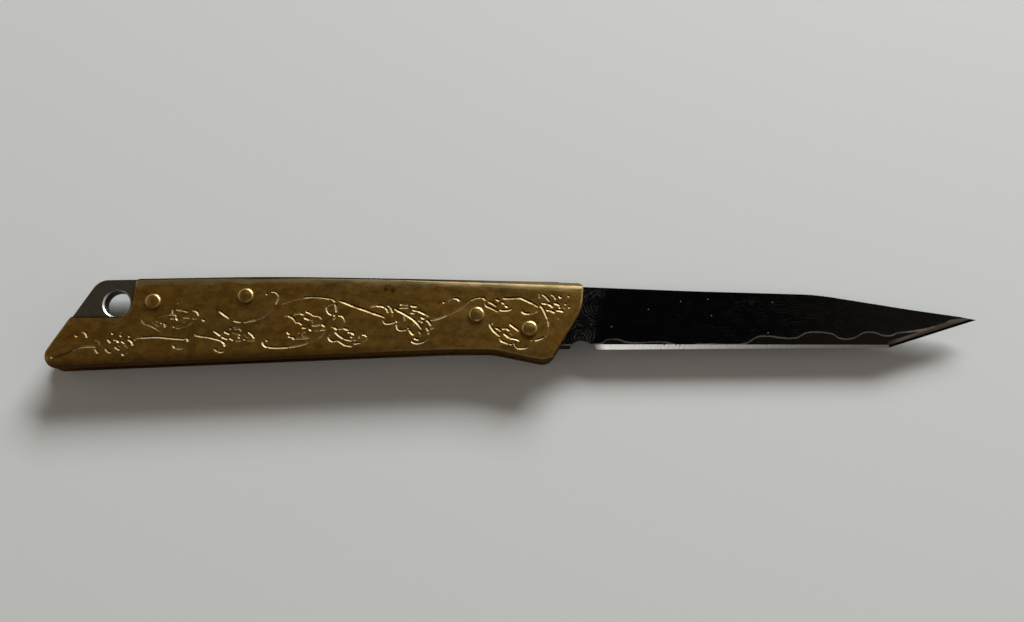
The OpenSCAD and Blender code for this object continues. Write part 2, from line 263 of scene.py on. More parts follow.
class Graph:
    """Short ways to lay shader nodes in one tree."""

    def __init__(self, tree: bpy.types.NodeTree) -> None:
        """Starts on an emptied tree."""
        self.tree = tree
        tree.nodes.clear()

    def node(self, kind: str, **settings: object) -> bpy.types.Node:
        """Adds a node.

        Args:
            kind: The node type, without its Shader prefix.
            settings: Properties to set on it.

        Returns:
            The new node.
        """
        new = self.tree.nodes.new("ShaderNode" + kind)
        for key, value in settings.items():
            setattr(new, key, value)
        return new

    def put(self, value: object, socket: Socket) -> None:
        """Links or sets one input.

        Args:
            value: The value, or the socket that it comes from.
            socket: The input.
        """
        if isinstance(value, Socket):
            self.tree.links.new(value, socket)
        else:
            socket.default_value = value

    def feed(self, node: bpy.types.Node, **inputs: object) -> bpy.types.Node:
        """Sets or links a node's inputs by name, with _ for a space.

        Args:
            node: The node to feed.
            inputs: A value or a socket for each named input.

        Returns:
            The same node.
        """
        for key, value in inputs.items():
            self.put(value, node.inputs[key.replace("_", " ")])
        return node

    def split(self, vector: Socket) -> bpy.types.Node:
        """Splits a vector into X, Y and Z outputs."""
        return self.feed(self.node("SeparateXYZ"), Vector=vector)

    def leaning(self) -> bpy.types.Node:
        """Splits the direction in which the surface faces."""
        return self.split(self.node("TexCoord").outputs["Normal"])

    def mapped(self, stretch: Triple = (1.0, 1.0, 1.0), turn: float = 0.0,
               shift: Triple = (0.0, 0.0, 0.0)) -> Socket:
        """Object coordinates in millimetres, stretched, turned about Z by degrees, and shifted."""
        grid = self.feed(self.node("Mapping"), Vector=self.node("TexCoord").outputs["Object"], Location=shift,
                         Scale=tuple(s / MM for s in stretch), Rotation=(0.0, 0.0, math.radians(turn)))
        return grid.outputs["Vector"]

    def noise(self, vector: Socket, scale: float, detail: float, rough: float,
              warp: float = 0.0) -> Socket:
        """Adds a noise texture, and puts out its value, about 0.3 to 0.7."""
        cloud = self.feed(self.node("TexNoise"), Vector=vector, Scale=scale, Detail=detail,
                          Roughness=rough, Distortion=warp)
        return cloud.outputs[0]

    def mottle(self, pattern: Mottle) -> Socket:
        """Lays a noise pattern over the piece: its values, or the mask of its reach."""
        cloud = self.noise(self.mapped(pattern.stretch, pattern.turn, pattern.shift), pattern.scale,
                           pattern.detail, pattern.rough, pattern.warp)
        return self.span(cloud, *pattern.reach) if pattern.reach else cloud

    def span(self, value: Socket, low: object, high: object, to_low: float = 0.0,
             to_high: float = 1.0) -> Socket:
        """Maps the values from low to high smoothly onto those from to_low to to_high, and clamps them."""
        ramp = self.feed(self.node("MapRange", interpolation_type="SMOOTHSTEP"), Value=value,
                         From_Min=low, From_Max=high, To_Min=to_low, To_Max=to_high)
        return ramp.outputs["Result"]

    def away(self, spot: Vector, flat: bool = False) -> Socket:
        """Distance from a spot in object coordinates.

        Args:
            spot: The spot in metres.
            flat: Whether height is left out.

        Returns:
            The distance in millimetres.
        """
        here = self.node("TexCoord").outputs["Object"]
        if flat:
            level = self.node("VectorMath", operation="MULTIPLY")
            self.put(here, level.inputs[0])
            self.put((1.0, 1.0, 0.0), level.inputs[1])
            here = level.outputs[0]
            spot = Vector((spot.x, spot.y, 0.0))
        gap = self.node("VectorMath", operation="DISTANCE")
        self.put(here, gap.inputs[0])
        self.put(spot, gap.inputs[1])
        return self.times(gap.outputs["Value"], 1.0 / MM)

    def traced(self, value: Socket, points: list[Point]) -> Socket:
        """Reads a smooth curve through points, both axes from 0 to 1.

        Args:
            value: Where along the curve it is read.
            points: The curve's points in order.

        Returns:
            The height of the curve.
        """
        curve = self.node("FloatCurve")
        knots = curve.mapping.curves[0].points
        knots[0].location, knots[1].location = points[0], points[-1]
        for x, y in points[1:-1]:
            knots.new(x, y)
        curve.mapping.update()
        return self.feed(curve, Value=value).outputs[0]

    def above(self, pixels: tuple[Point, ...], depth: float, x: Socket, y: Socket) -> Socket:
        """Height over a line traced on the photograph.

        Args:
            pixels: The line, from left to right.
            depth: Depth of its level below the brass face, in millimetres.
            x: Place along the knife in millimetres.
            y: Place across it.

        Returns:
            The height in millimetres, measured along Y.
        """
        spots = [PLANE.place(px, py, depth) / MM for px, py in pixels]
        low, high = min(p.y for p in spots), max(p.y for p in spots)
        start, run = spots[0].x, spots[-1].x - spots[0].x
        along = self.math("DIVIDE", self.minus(x, start), run)
        level = self.traced(along, [((p.x - start) / run, (p.y - low) / (high - low)) for p in spots])
        return self.minus(y, self.plus(self.times(level, high - low), low))

    def math(self, way: str, *values: object) -> Socket:
        """Adds a math node.

        Args:
            way: The operation, such as DIVIDE.
            values: Its values or sockets.

        Returns:
            The result socket.
        """
        step = self.node("Math", operation=way)
        for value, socket in zip(values, step.inputs):
            self.put(value, socket)
        return step.outputs[0]

    def times(self, *values: object) -> Socket:
        """Multiplies values and sockets, from left to right."""
        return functools.reduce(functools.partial(self.math, "MULTIPLY"), values)

    def plus(self, *values: object) -> Socket:
        """Adds values and sockets, from left to right."""
        return functools.reduce(functools.partial(self.math, "ADD"), values)

    def minus(self, one: object, two: object) -> Socket:
        """Takes the second value from the first."""
        return self.math("SUBTRACT", one, two)

    def outside(self, mask: Socket) -> Socket:
        """Turns a mask over."""
        return self.minus(1.0, mask)

    def most(self, one: object, two: object) -> Socket:
        """Takes the greater of two values."""
        return self.math("MAXIMUM", one, two)

    def amount(self, value: Socket) -> Socket:
        """Drops a value's sign."""
        return self.math("ABSOLUTE", value)

    def blend(self, mask: object, one: object, two: object, way: str = "MIX") -> Socket:
        """Mixes two colours by a mask.

        Args:
            mask: Share of the second colour, a value or a socket.
            one: First colour or socket.
            two: Second colour or socket.
            way: The mixing mode.

        Returns:
            The colour socket.
        """
        mix = self.node("Mix", data_type="RGBA", blend_type=way)
        for index, value in ((0, mask), (6, one), (7, two)):
            self.put((*value, 1.0) if isinstance(value, tuple) else value, mix.inputs[index])
        return mix.outputs[2]

    def group(self, tree: bpy.types.NodeTree, **inputs: object) -> bpy.types.Node:
        """Places a node group, with a value or a socket for each of its inputs."""
        return self.feed(self.node("Group", node_tree=tree), **inputs)

    def bump(self, height: Socket, strength: float, depth: float = 0.02) -> Socket:
        """Bends the normal by a height, with the bump's depth in millimetres."""
        bent = self.feed(self.node("Bump"), Strength=strength, Distance=depth * MM, Height=height)
        return bent.outputs[0]

    def close(self, **inputs: object) -> None:
        """Ends a material in one Principled shader, with a value or socket for each input."""
        shader = self.feed(self.node("BsdfPrincipled"), **inputs)
        self.feed(self.node("OutputMaterial"), Surface=shader.outputs[0])


# ---------------------------------------------------------------- shared effects


class Effects:
    """Node groups that several finishes use, each built once."""

    @staticmethod
    def start(name: str, values: dict[str, float],
              masks: tuple[str, ...]) -> tuple[Graph, bpy.types.bpy_prop_collection]:
        """Makes a group with a Vector input.

        Args:
            name: The group's name.
            values: Its other inputs with their defaults.
            masks: Its outputs.

        Returns:
            The graph on its tree, and what the group is given.
        """
        tree = bpy.data.node_groups.new(name, "ShaderNodeTree")
        graph = Graph(tree)
        tree.interface.new_socket("Vector", in_out="INPUT", socket_type="NodeSocketVector")
        for label, value in values.items():
            given = tree.interface.new_socket(label, in_out="INPUT", socket_type="NodeSocketFloat")
            given.default_value = value
        for label in masks:
            tree.interface.new_socket(label, in_out="OUTPUT", socket_type="NodeSocketFloat")
        return graph, tree.nodes.new("NodeGroupInput").outputs

    @staticmethod
    def close(graph: Graph, **masks: Socket) -> bpy.types.NodeTree:
        """Ends a group in its masks."""
        graph.feed(graph.tree.nodes.new("NodeGroupOutput"), **masks)
        return graph.tree

    @staticmethod
    @functools.cache
    def grain() -> bpy.types.NodeTree:
        """Fine abrasive grain and rubbed scratches.

        Returns:
            A group with a Height and a Tone output.
        """
        scratch_turns, scratch_stretch = (12.0, -31.0, 78.0), (0.6, 22.0, 8.0)
        scratch_reach, scratch_depth, patch_share = (0.60, 0.74), 0.35, 0.75
        graph, given = Effects.start("metal_grain", {"Scale": 1.0}, ("Height", "Tone"))
        scaled = graph.node("VectorMath", operation="SCALE")
        graph.put(given["Vector"], scaled.inputs[0])
        graph.put(given["Scale"], scaled.inputs["Scale"])
        fine = graph.noise(scaled.outputs[0], scale=9.0, detail=3.0, rough=0.6)
        patch = graph.noise(scaled.outputs[0], scale=1.1, detail=3.0, rough=0.6)
        lines = []
        for turn in scratch_turns:
            drawn = graph.feed(graph.node("Mapping"), Vector=scaled.outputs[0], Scale=scratch_stretch,
                               Rotation=(0.0, 0.0, math.radians(turn)))
            line = graph.noise(drawn.outputs[0], scale=1.0, detail=2.0, rough=0.5)
            lines.append(graph.span(line, *scratch_reach))
        scratch = functools.reduce(graph.most, lines)
        return Effects.close(
            graph, Height=graph.minus(fine, graph.times(scratch, scratch_depth)),
            Tone=graph.plus(graph.times(patch, patch_share), graph.times(fine, 1.0 - patch_share)))

    @staticmethod
    @functools.cache
    def wear() -> bpy.types.NodeTree:
        """Rubbed edges, found where the surface leans away from the flat faces.

        Returns:
            A group with an Edge mask.
        """
        rub_reach = (0.3, 0.6, 0.35, 1.0)
        graph, given = Effects.start("edge_wear", {"Start": 0.985, "End": 0.8}, ("Edge",))
        upright = graph.amount(graph.leaning().outputs["Z"])
        leans = graph.span(upright, given["Start"], given["End"])
        rub = graph.noise(given["Vector"], scale=0.9, detail=4.0, rough=0.6)
        return Effects.close(graph, Edge=graph.times(leans, graph.span(rub, *rub_reach)))

    @staticmethod
    @functools.cache
    def shade_and_grime() -> bpy.types.NodeTree:
        """Painted shade where surfaces meet, found by ambient occlusion and broken into patches like dirt.

        Returns:
            A group with one mask of that painted shade and dirt.
        """
        reach_mm, closed_reach, patch_reach = 0.8, (0.95, 0.45), (0.3, 0.65, 0.4, 1.0)
        graph, given = Effects.start("corner_shade_and_grime", {"Amount": 0.7}, ("Dirt",))
        # ambient occlusion darkens where other surfaces are near: painted shade
        near = graph.feed(graph.node("AmbientOcclusion", samples=8), Distance=reach_mm * MM)
        closed = graph.span(near.outputs["AO"], *closed_reach)
        patch = graph.noise(given["Vector"], scale=1.4, detail=4.0, rough=0.6)
        return Effects.close(
            graph, Dirt=graph.times(closed, graph.span(patch, *patch_reach), given["Amount"]))


# ---------------------------------------------------------------- finishes


@dataclass(frozen=True)
class Finish:
    """A named finish that lays its own nodes."""

    name: str

    def paint(self, graph: Graph) -> None:
        """Lays the finish's nodes in its material's graph."""
        raise NotImplementedError(self.name)

    def material(self) -> bpy.types.Material:
        """Builds the finish.

        Returns:
            The material.
        """
        made = bpy.data.materials.new(self.name)
        made.use_nodes = True
        self.paint(Graph(made.node_tree))
        return made


@dataclass(frozen=True)
class BrassEdges:
    """Painted shade and highlights along the long edges of a scale, with some patina at the belly."""

    belly_line: tuple[Point, ...] = (
        (50, 366.5), (60, 365.6), (90, 364.4), (120, 363.2), (150, 361.7), (200, 358.8),
        (250, 356.8), (300, 355.0), (350, 353.1), (400, 350.8), (450, 349.3), (480, 349.0),
        (490, 349.2), (500, 350.6), (510, 353.0), (520, 355.3), (530, 357.5), (540, 358.5),
        (548, 358.0))
    back_line: tuple[Point, ...] = (
        (134, 279.6), (200, 278.6), (270, 277.4), (330, 277.0), (390, 278.2), (450, 280.0),
        (510, 281.2), (578, 283.0))
    # the belly's dark is patina and painted shade, corner and sheen are painted highlights, and the darkest
    # colour is a painted line of shade
    dark: Colour = (0.090, 0.048, 0.014)
    corner: Colour = (0.42, 0.30, 0.15)
    sheen: Colour = (0.66, 0.53, 0.26)
    edge_shade: Colour = (0.010, 0.008, 0.005)
    cloud: Mottle = Mottle((0.2, 0.8, 0.8))
    ragged: float = 0.5
    dark_band: Ramp = (1.9, 0.1)
    dark_run: Ramp = (-8.0, -40.0, 0.12, 0.62)
    highlight_at: float = 0.34
    highlight_band: Ramp = (0.20, 0.05)
    highlight_run: Ramp = (-34.0, -16.0, 0.0, 0.55)
    sheen_ragged: float = 2.6
    sheen_widens: Ramp = (-60.0, -30.0, 0.0, 0.35)
    sheen_band: Ramp = (-1.50, -0.35)
    sheen_run: Ramp = (-50.0, -30.0, 0.70, 0.85)
    sheen_level: Ramp = (0.972, 0.990, 0.30, 1.0)
    steep_shade: Ramp = (0.30, 0.55)
    steep_shade_run: Ramp = (-22.0, 10.0, 0.97, 0.60)
    rim_shade_band: Ramp = (-0.30, -0.16)
    rim_shade_run: tuple[Ramp, Ramp] = ((-62.0, -52.0, 0.0, 0.9), (-16.0, -24.0))

    def lay(self, graph: Graph, colour: Socket, where: bpy.types.Node, leaning: bpy.types.Node) -> Socket:
        """Paints shade towards the belly, where patina darkens it too, and on the back's corner, and paints a
        highlight beside both.

        Args:
            graph: The material's graph.
            colour: The colour so far.
            where: Splits the place into its coordinates, in millimetres.
            leaning: Splits the surface's normal.

        Returns:
            The new colour.
        """
        x, y = where.outputs["X"], where.outputs["Y"]
        cloud = graph.minus(graph.mottle(self.cloud), NOISE_MIDDLE)

        # the belly: darker towards the tail, partly patina and partly painted shade, with a painted highlight
        # line just inside its corner
        above = graph.plus(graph.above(self.belly_line, 0.0, x, y), graph.times(cloud, self.ragged))
        dark = graph.times(graph.span(above, *self.dark_band), graph.span(x, *self.dark_run))
        colour = graph.blend(dark, colour, self.dark)
        line = graph.amount(graph.minus(above, self.highlight_at))
        lit = graph.times(graph.span(line, *self.highlight_band), graph.span(x, *self.highlight_run))
        colour = graph.blend(lit, colour, self.corner)

        # the back: a painted highlight band on the level part, and a painted line of shade where it turns
        # over
        height = graph.above(self.back_line, 0.0, x, y)
        back = graph.plus(height, graph.times(cloud, self.sheen_ragged), graph.span(x, *self.sheen_widens))
        pale = graph.times(graph.span(back, *self.sheen_band), graph.span(x, *self.sheen_run),
                           graph.span(graph.amount(leaning.outputs["Z"]), *self.sheen_level))
        colour = graph.blend(pale, colour, self.sheen)
        steep_shade = graph.times(graph.span(leaning.outputs["Y"], *self.steep_shade), graph.span(x, *self.steep_shade_run))
        start, end = self.rim_shade_run
        rim = graph.times(graph.span(height, *self.rim_shade_band),
                          graph.times(graph.span(x, *start), graph.span(x, *end)))
        return graph.blend(graph.most(steep_shade, rim), colour, self.edge_shade)


@dataclass(frozen=True)
class BrassFinish(Finish):
    """Aged brass with a thin brown patina, rubbed bright where it is handled or cut, with painted shade on
    its sides and in its corners.
    """

    bright: Colour = (0.50, 0.305, 0.080)
    aged: Colour = (0.30, 0.154, 0.028)
    dark: Colour = (0.15, 0.08, 0.02)
    # colour of the painted shade on the sides, and on faces that lean away where hands don't reach
    side_shade: Colour = (0.090, 0.048, 0.014)
    # worn edge brass, whose pale colour also paints the edges' highlight
    rubbed_sheen: Colour = (0.80, 0.71, 0.47)
    stain: Colour = (0.045, 0.022, 0.008)
    rough: float = 0.32
    rough_by: Point = (0.07, -0.02)
    dulled_by: Triple = (0.25, 0.30, 0.12)
    grain: float = 0.10
    worn: Point = (0.996, 0.95)
    handled: Ramp = (-32.0, 33.0, 0.05, 1.0)
    handled_lean: Ramp = (-0.35, 0.10, 0.15, 1.0)
    stains: tuple[Triple, ...] = ()
    edges: BrassEdges | None = None
    patina: Mottle = Mottle((0.09, 0.22, 0.22), 5.0, 0.62, 0.4, reach=(0.36, 0.66))
    blotches: Mottle = Mottle((0.55, 0.70, 0.70), 5.0, shift=(3.0, 5.0, 0.0), reach=(0.30, 0.70))
    blotch_tones: tuple[Colour, Colour] = ((0.72, 0.70, 0.62), (1.24, 1.25, 1.22))
    specks: Ramp = (0.44, 0.36, 0.0, 0.55)
    # where and how strongly the sides get painted shade
    side_shade_reach: Ramp = (0.84, 0.60)
    side_shade_share: float = 0.9
    # where and how strongly faces that lean away get painted shade
    turned: Ramp = (0.996, 0.86)
    turned_shade_share: float = 0.85
    # strength of the painted shade in corners, patchy like dirt, which also dulls the brass
    dirt: float = 0.75
    ragged_stain: Mottle = Mottle(detail=4.0, rough=0.55, scale=1.6)
    ragged_by: float = 0.9
    stain_edge: Point = (0.60, 0.05)
    stain_share: float = 0.72

    def spots(self, graph: Graph) -> Socket:
        """The dark stain near the back of the front scale.

        Args:
            graph: The material's graph.

        Returns:
            Its mask.
        """
        masks = []
        for px, py, radius in self.stains:
            ragged = graph.times(graph.mottle(self.ragged_stain), self.ragged_by)
            gap = graph.plus(graph.away(PLANE.place(px, py)), ragged)
            masks.append(graph.span(gap, *(radius + edge for edge in self.stain_edge)))
        return graph.times(functools.reduce(graph.most, masks), self.stain_share)

    def paint(self, graph: Graph) -> None:
        """Lays the finish's nodes.

        Args:
            graph: The material's graph.
        """
        around = graph.mapped()
        where, leaning = graph.split(around), graph.leaning()
        upright = graph.amount(leaning.outputs["Z"])
        grain = graph.group(Effects.grain(), Vector=around, Scale=1.0)
        wear = graph.group(Effects.wear(), Vector=around, Start=self.worn[0], End=self.worn[1])
        dirt = graph.group(Effects.shade_and_grime(), Vector=around, Amount=self.dirt).outputs["Dirt"]

        # the patina, its blotches and specks
        cloud = graph.mottle(self.patina)
        colour = graph.blend(cloud, self.aged, self.bright)
        tones = graph.blend(graph.mottle(self.blotches), *self.blotch_tones)
        colour = graph.blend(1.0, colour, tones, "MULTIPLY")
        colour = graph.blend(graph.span(grain.outputs["Tone"], *self.specks), colour, self.dark)

        # edges rubbed bright where hands reach, a wear whose colour and spread also paint the edges'
        # highlight; then painted shade on faces that lean away where hands don't reach, and on the sides
        side_shade = graph.span(upright, *self.side_shade_reach)
        handled = graph.times(graph.span(where.outputs["X"], *self.handled),
                              graph.span(leaning.outputs["Y"], *self.handled_lean))
        worn = graph.times(wear.outputs["Edge"], handled, graph.outside(side_shade))
        # edge wear, that also paints the edges' highlight towards the front
        colour = graph.blend(worn, colour, self.rubbed_sheen)
        # painted shade on faces that lean away from the top where hands don't reach
        unhandled_shade = graph.times(graph.span(upright, *self.turned), graph.outside(handled))
        colour = graph.blend(graph.times(unhandled_shade, self.turned_shade_share), colour, self.side_shade)
        colour = graph.blend(graph.times(side_shade, self.side_shade_share), colour, self.side_shade)
        if self.edges:
            colour = self.edges.lay(graph, colour, where, leaning)
        # painted shade in corners, patchy like dirt
        colour = graph.blend(dirt, colour, self.dark)
        if self.stains:
            colour = graph.blend(self.spots(graph), colour, self.stain)

        rough = graph.plus(graph.span(cloud, 0.0, 1.0, *(self.rough + by for by in self.rough_by)),
                           *(graph.times(*dull) for dull in zip((dirt, unhandled_shade, side_shade), self.dulled_by)))
        graph.close(Base_Color=colour, Metallic=1.0, Roughness=rough,
                    Normal=graph.bump(grain.outputs["Height"], self.grain))


@dataclass(frozen=True)
class CutBrassFinish(Finish):
    """Brass laid bare by the graver, satin and bright, with painted shade on the cut walls that face -Y."""

    name: str = "cut_brass"
    bright: Colour = (0.50, 0.385, 0.20)
    dull: Colour = (0.19, 0.125, 0.044)
    wall_shade: Colour = (0.07, 0.04, 0.013)
    rough: Ramp = (0.3, 0.7, 0.70, 0.58)
    grain: float = 0.1
    patches: Mottle = Mottle((0.35, 0.35, 0.35), 4.0, reach=(0.34, 0.60))
    shaded: Ramp = (0.0, -0.25)

    def paint(self, graph: Graph) -> None:
        """Lays the finish's nodes.

        Args:
            graph: The material's graph.
        """
        grain = graph.group(Effects.grain(), Vector=graph.mapped(), Scale=2.0)
        colour = graph.blend(graph.mottle(self.patches), self.dull, self.bright)
        # painted shade on the cut walls that face -Y
        colour = graph.blend(graph.span(graph.leaning().outputs["Y"], *self.shaded), colour, self.wall_shade)
        graph.close(Base_Color=colour, Metallic=1.0, Normal=graph.bump(grain.outputs["Height"], self.grain),
                    Roughness=graph.span(grain.outputs["Tone"], *self.rough))


@dataclass(frozen=True)
class SteelFinish(Finish):
    """Satin spring steel: ground faces, streaked edges, and a lanyard hole with painted shade on its wall and
    a painted highlight on its lip.
    """

    name: str = "satin_steel"
    bright: Colour = (0.176, 0.168, 0.120)
    dark: Colour = (0.099, 0.092, 0.064)
    # the painted shade in corners, patchy like dirt, takes this colour
    dirty: Colour = (0.05, 0.042, 0.035)
    # the next two: painted shade on the lanyard hole's wall, and a painted highlight on its lip
    bore_shade: Colour = (0.055, 0.052, 0.050)
    lip_highlight: Colour = (0.72, 0.70, 0.66)
    edge: Colour = (0.150, 0.146, 0.140)
    edge_dark: Colour = (0.060, 0.055, 0.050)
    hole: Triple = (-82.15, 4.05, 3.6)
    hole_r: float = 2.95
    rough: Ramp = (0.0, 1.0, 0.46, 0.34)
    wall_dulled_by: float = 0.2
    grain: float = 0.12
    line_height: float = 0.7
    rub_share: float = 0.5
    tones: Ramp = (0.35, 0.62)
    ground: Mottle = Mottle((0.5, 16.0, 5.0), turn=55.0)
    ground_reach: Ramp = (0.4, 0.6, 0.0, 0.25)
    streaks: Mottle = Mottle((0.06, 5.0, 5.0), 4.0)
    blots: Mottle = Mottle((0.16, 0.5, 0.5), 4.0, shift=(2.0, 8.0, 0.0))
    streak_reach: Ramp = (0.80, 1.15)
    edge_lean: Ramp = (0.55, 0.35)
    wall_lean: Ramp = (0.35, 0.25)
    lip_highlight_lean: Ramp = (0.97, 0.90)

    def paint(self, graph: Graph) -> None:
        """Lays the finish's nodes.

        Args:
            graph: The material's graph.
        """
        around = graph.mapped()
        grain = graph.group(Effects.grain(), Vector=around, Scale=1.2)
        wear = graph.group(Effects.wear(), Vector=around, Start=0.97, End=0.6)
        shade_and_grime = graph.group(Effects.shade_and_grime(), Vector=around, Amount=0.8)
        upright = graph.amount(graph.leaning().outputs["Z"])

        # the ground faces
        lines = graph.mottle(self.ground)
        tone = graph.span(grain.outputs["Tone"], *self.tones)
        colour = graph.blend(tone, self.dark, self.bright)
        colour = graph.blend(graph.span(lines, *self.ground_reach), colour, self.bright)
        colour = graph.blend(graph.times(wear.outputs["Edge"], self.rub_share), colour, self.bright)
        # painted shade in corners, patchy like dirt
        colour = graph.blend(shade_and_grime.outputs["Dirt"], colour, self.dirty)

        # the long edges, then the lanyard hole's lip, painted as a highlight, and its wall, painted in shade
        in_hole = graph.math("LESS_THAN", graph.away(Vector(self.hole) * MM, flat=True), self.hole_r)
        drawn = graph.plus(graph.mottle(self.streaks), graph.mottle(self.blots))
        drawn = graph.span(drawn, *self.streak_reach)
        on_edge = graph.times(graph.span(upright, *self.edge_lean), graph.outside(in_hole))
        colour = graph.blend(on_edge, colour, graph.blend(drawn, self.edge_dark, self.edge))
        wall = graph.times(in_hole, graph.span(upright, *self.wall_lean))
        lip_highlight = graph.times(in_hole, graph.span(upright, *self.lip_highlight_lean))
        colour = graph.blend(graph.minus(lip_highlight, wall), colour, self.lip_highlight)
        colour = graph.blend(wall, colour, self.bore_shade)

        height = graph.plus(graph.times(lines, self.line_height), grain.outputs["Height"])
        rough = graph.plus(graph.span(tone, *self.rough), graph.times(wall, self.wall_dulled_by))
        graph.close(Base_Color=colour, Metallic=1.0, Roughness=rough, Normal=graph.bump(height, self.grain))


@dataclass(frozen=True)
class PatternSteelFinish(Finish):
    """Etched pattern-welded blade: black cladding, brown core below a wavy line, polished bevel."""

    name: str = "pattern_steel"
    cladding: Colour = (0.0004, 0.0004, 0.0004)
    light_layer: Colour = (0.0120, 0.0118, 0.0110)
    root_layer: Colour = (0.060, 0.059, 0.054)
    fleck: Colour = (0.20, 0.19, 0.185)
    core: Colour = (0.0095, 0.0056, 0.0044)
    near_tip: Colour = (0.0062, 0.0048, 0.0040)
    rim: Colour = (0.075, 0.070, 0.062)
    rim_tip: Colour = (0.17, 0.14, 0.115)
    polished: Colour = (0.74, 0.72, 0.69)
    heel: Colour = (0.14, 0.10, 0.075)
    tip_ground: Colour = (0.088, 0.070, 0.058)
    core_line: tuple[Point, ...] = (
        (583, 344), (601, 342.6), (611, 338.2), (633, 341.9), (660, 341.1), (685, 344.8),
        (699, 343.3), (740, 343.3), (751, 339.7), (765, 335.3), (780, 336.7), (792, 337.3),
        (803, 333.5), (814, 331.2), (832, 332.8), (846, 338.1), (858, 335), (872, 331.2),
        (887, 335), (898, 332), (913, 330.5), (928, 328.2), (944, 323.6), (959, 319.7), (976, 319))
    flecks: tuple[Point, ...] = (
        (611, 326), (648, 309), (680, 301), (707, 299), (711, 315), (772, 302), (768, 332))
    nicks: tuple[Point, ...] = (
        (661, 348.6), (664, 343.8), (676, 343.8), (680, 344.6), (699, 349), (705, 348.4))
    swirls: tuple[Point, Point] = ((594, 306), (577, 339))
    corner: Point = (77.154, -4.91)
    tip: Point = (95.624, 0.89)
    depth: float = 2.0
    pitch: float = 0.62
    root_slant: float = 0.24
    root_run: Ramp = (17.7, 16.9)
    tip_run: Ramp = (45.0, 85.0)
    waves: Mottle = Mottle((0.10, 0.20, 0.5), 2.0, 0.5, 0.5)
    knots: Mottle = Mottle((0.34, 0.42, 0.5), 3.0, 0.55, 1.4, shift=(7.0, 3.0, 0.0))
    waves_by: float = 7.0
    knots_by: float = 2.2
    ring_knots_by: float = 3.6
    layer_reach: Ramp = (0.25, 0.95)
    ring_reach: Ramp = (0.10, 0.95)
    layer_run: Ramp = (24.0, 60.0, 0.3, 1.0)
    layer_share: float = 0.55
    breaks: Mottle = Mottle((0.35, 0.5, 0.5), shift=(1.0, 9.0, 0.0), reach=(0.42, 0.60))
    ring_breaks: Mottle = Mottle((0.3, 0.3, 0.3), 2.0, 0.5, shift=(4.0, 1.0, 0.0),
                                 reach=(0.38, 0.60, 0.1, 0.9))
    ragged_core: Mottle = Mottle(scale=1.3)
    core_ragged_by: float = 0.35
    core_edge: Ramp = (0.06, -0.06)
    core_fades: Ramp = (0.0, 1.0, 0.5, 1.0)
    ragged_spot: Mottle = Mottle(detail=2.0, rough=0.55, scale=5.0)
    spot_ragged_by: float = 0.25
    spot_edge: Point = (0.20, 0.05)
    fleck_r: float = 0.10
    nick_r: float = 0.14
    hone: Mottle = Mottle((9.0, 0.8, 0.8), 2.0, 0.5, turn=-8.0, reach=(0.35, 0.65))
    hone_shade: float = 0.75
    line_breaks: Mottle = Mottle((0.2, 0.2, 0.2), rough=0.55, reach=(0.30, 0.52, 0.25, 1.0))
    bevel_level: Point = (0.85, 0.975)
    bevel_lean: float = -0.24
    heel_run: Ramp = (19.0, 16.2)
    past_corner: Ramp = (-0.2, 0.2)
    tip_band: Ramp = (1.28, 1.14)
    tip_dark_band: Ramp = (0.42, 0.56)
    tip_ground_run: Ramp = (0.0, 3.5, 0.25, 1.0)
    tip_line_band: Ramp = (0.50, 0.62)
    line_widens: Ramp = (80.0, 90.0, 0.0, 0.22)
    line_band: Ramp = (0.21, 0.07)
    line_pales: Ramp = (72.0, 88.0)
    rough: Ramp = (0.0, 1.0, 0.44, 0.28)
    specular: float = 0.035
    relief: Point = (0.35, 0.03)

    def layers(self, graph: Graph, x: Socket, y: Socket, root: Socket) -> Socket:
        """The folded layers: fine lines along the blade that swirl in places, and rings at its root.

        Args:
            graph: The material's graph.
            x: Place along the blade in millimetres.
            y: Place across it.
            root: Mask of the thick root.

        Returns:
            The line mask.
        """
        knots = graph.mottle(self.knots)
        level = graph.plus(graph.math("DIVIDE", y, self.pitch),
                           graph.plus(graph.times(graph.mottle(self.waves), self.waves_by),
                                      graph.times(knots, self.knots_by)))
        rings = [graph.away(PLANE.place(*swirl, self.depth), flat=True) for swirl in self.swirls]
        ring = graph.plus(graph.math("DIVIDE", graph.math("MINIMUM", *rings), self.pitch),
                          graph.times(knots, self.ring_knots_by))
        along, round_root = (
            graph.span(graph.math("SINE", graph.times(wave, math.tau)), *reach)
            for wave, reach in ((level, self.layer_reach), (ring, self.ring_reach)))
        along = graph.times(along, graph.mottle(self.breaks), graph.span(x, *self.layer_run))
        swirl = graph.times(round_root, root, graph.mottle(self.ring_breaks))
        return graph.most(graph.times(along, graph.outside(root)), swirl)

    def spots(self, graph: Graph, places: tuple[Point, ...], radius: float) -> Socket:
        """Small ragged spots.

        Args:
            graph: The material's graph.
            places: Pixels of the spots.
            radius: Their radius in millimetres.

        Returns:
            The spots' mask.
        """
        ragged = graph.times(graph.mottle(self.ragged_spot), self.spot_ragged_by)
        mask: object = 0.0
        for place in places:
            gap = graph.plus(graph.away(PLANE.place(*place, self.depth), flat=True), ragged)
            mask = graph.most(mask, graph.span(gap, *(radius + edge for edge in self.spot_edge)))
        return mask

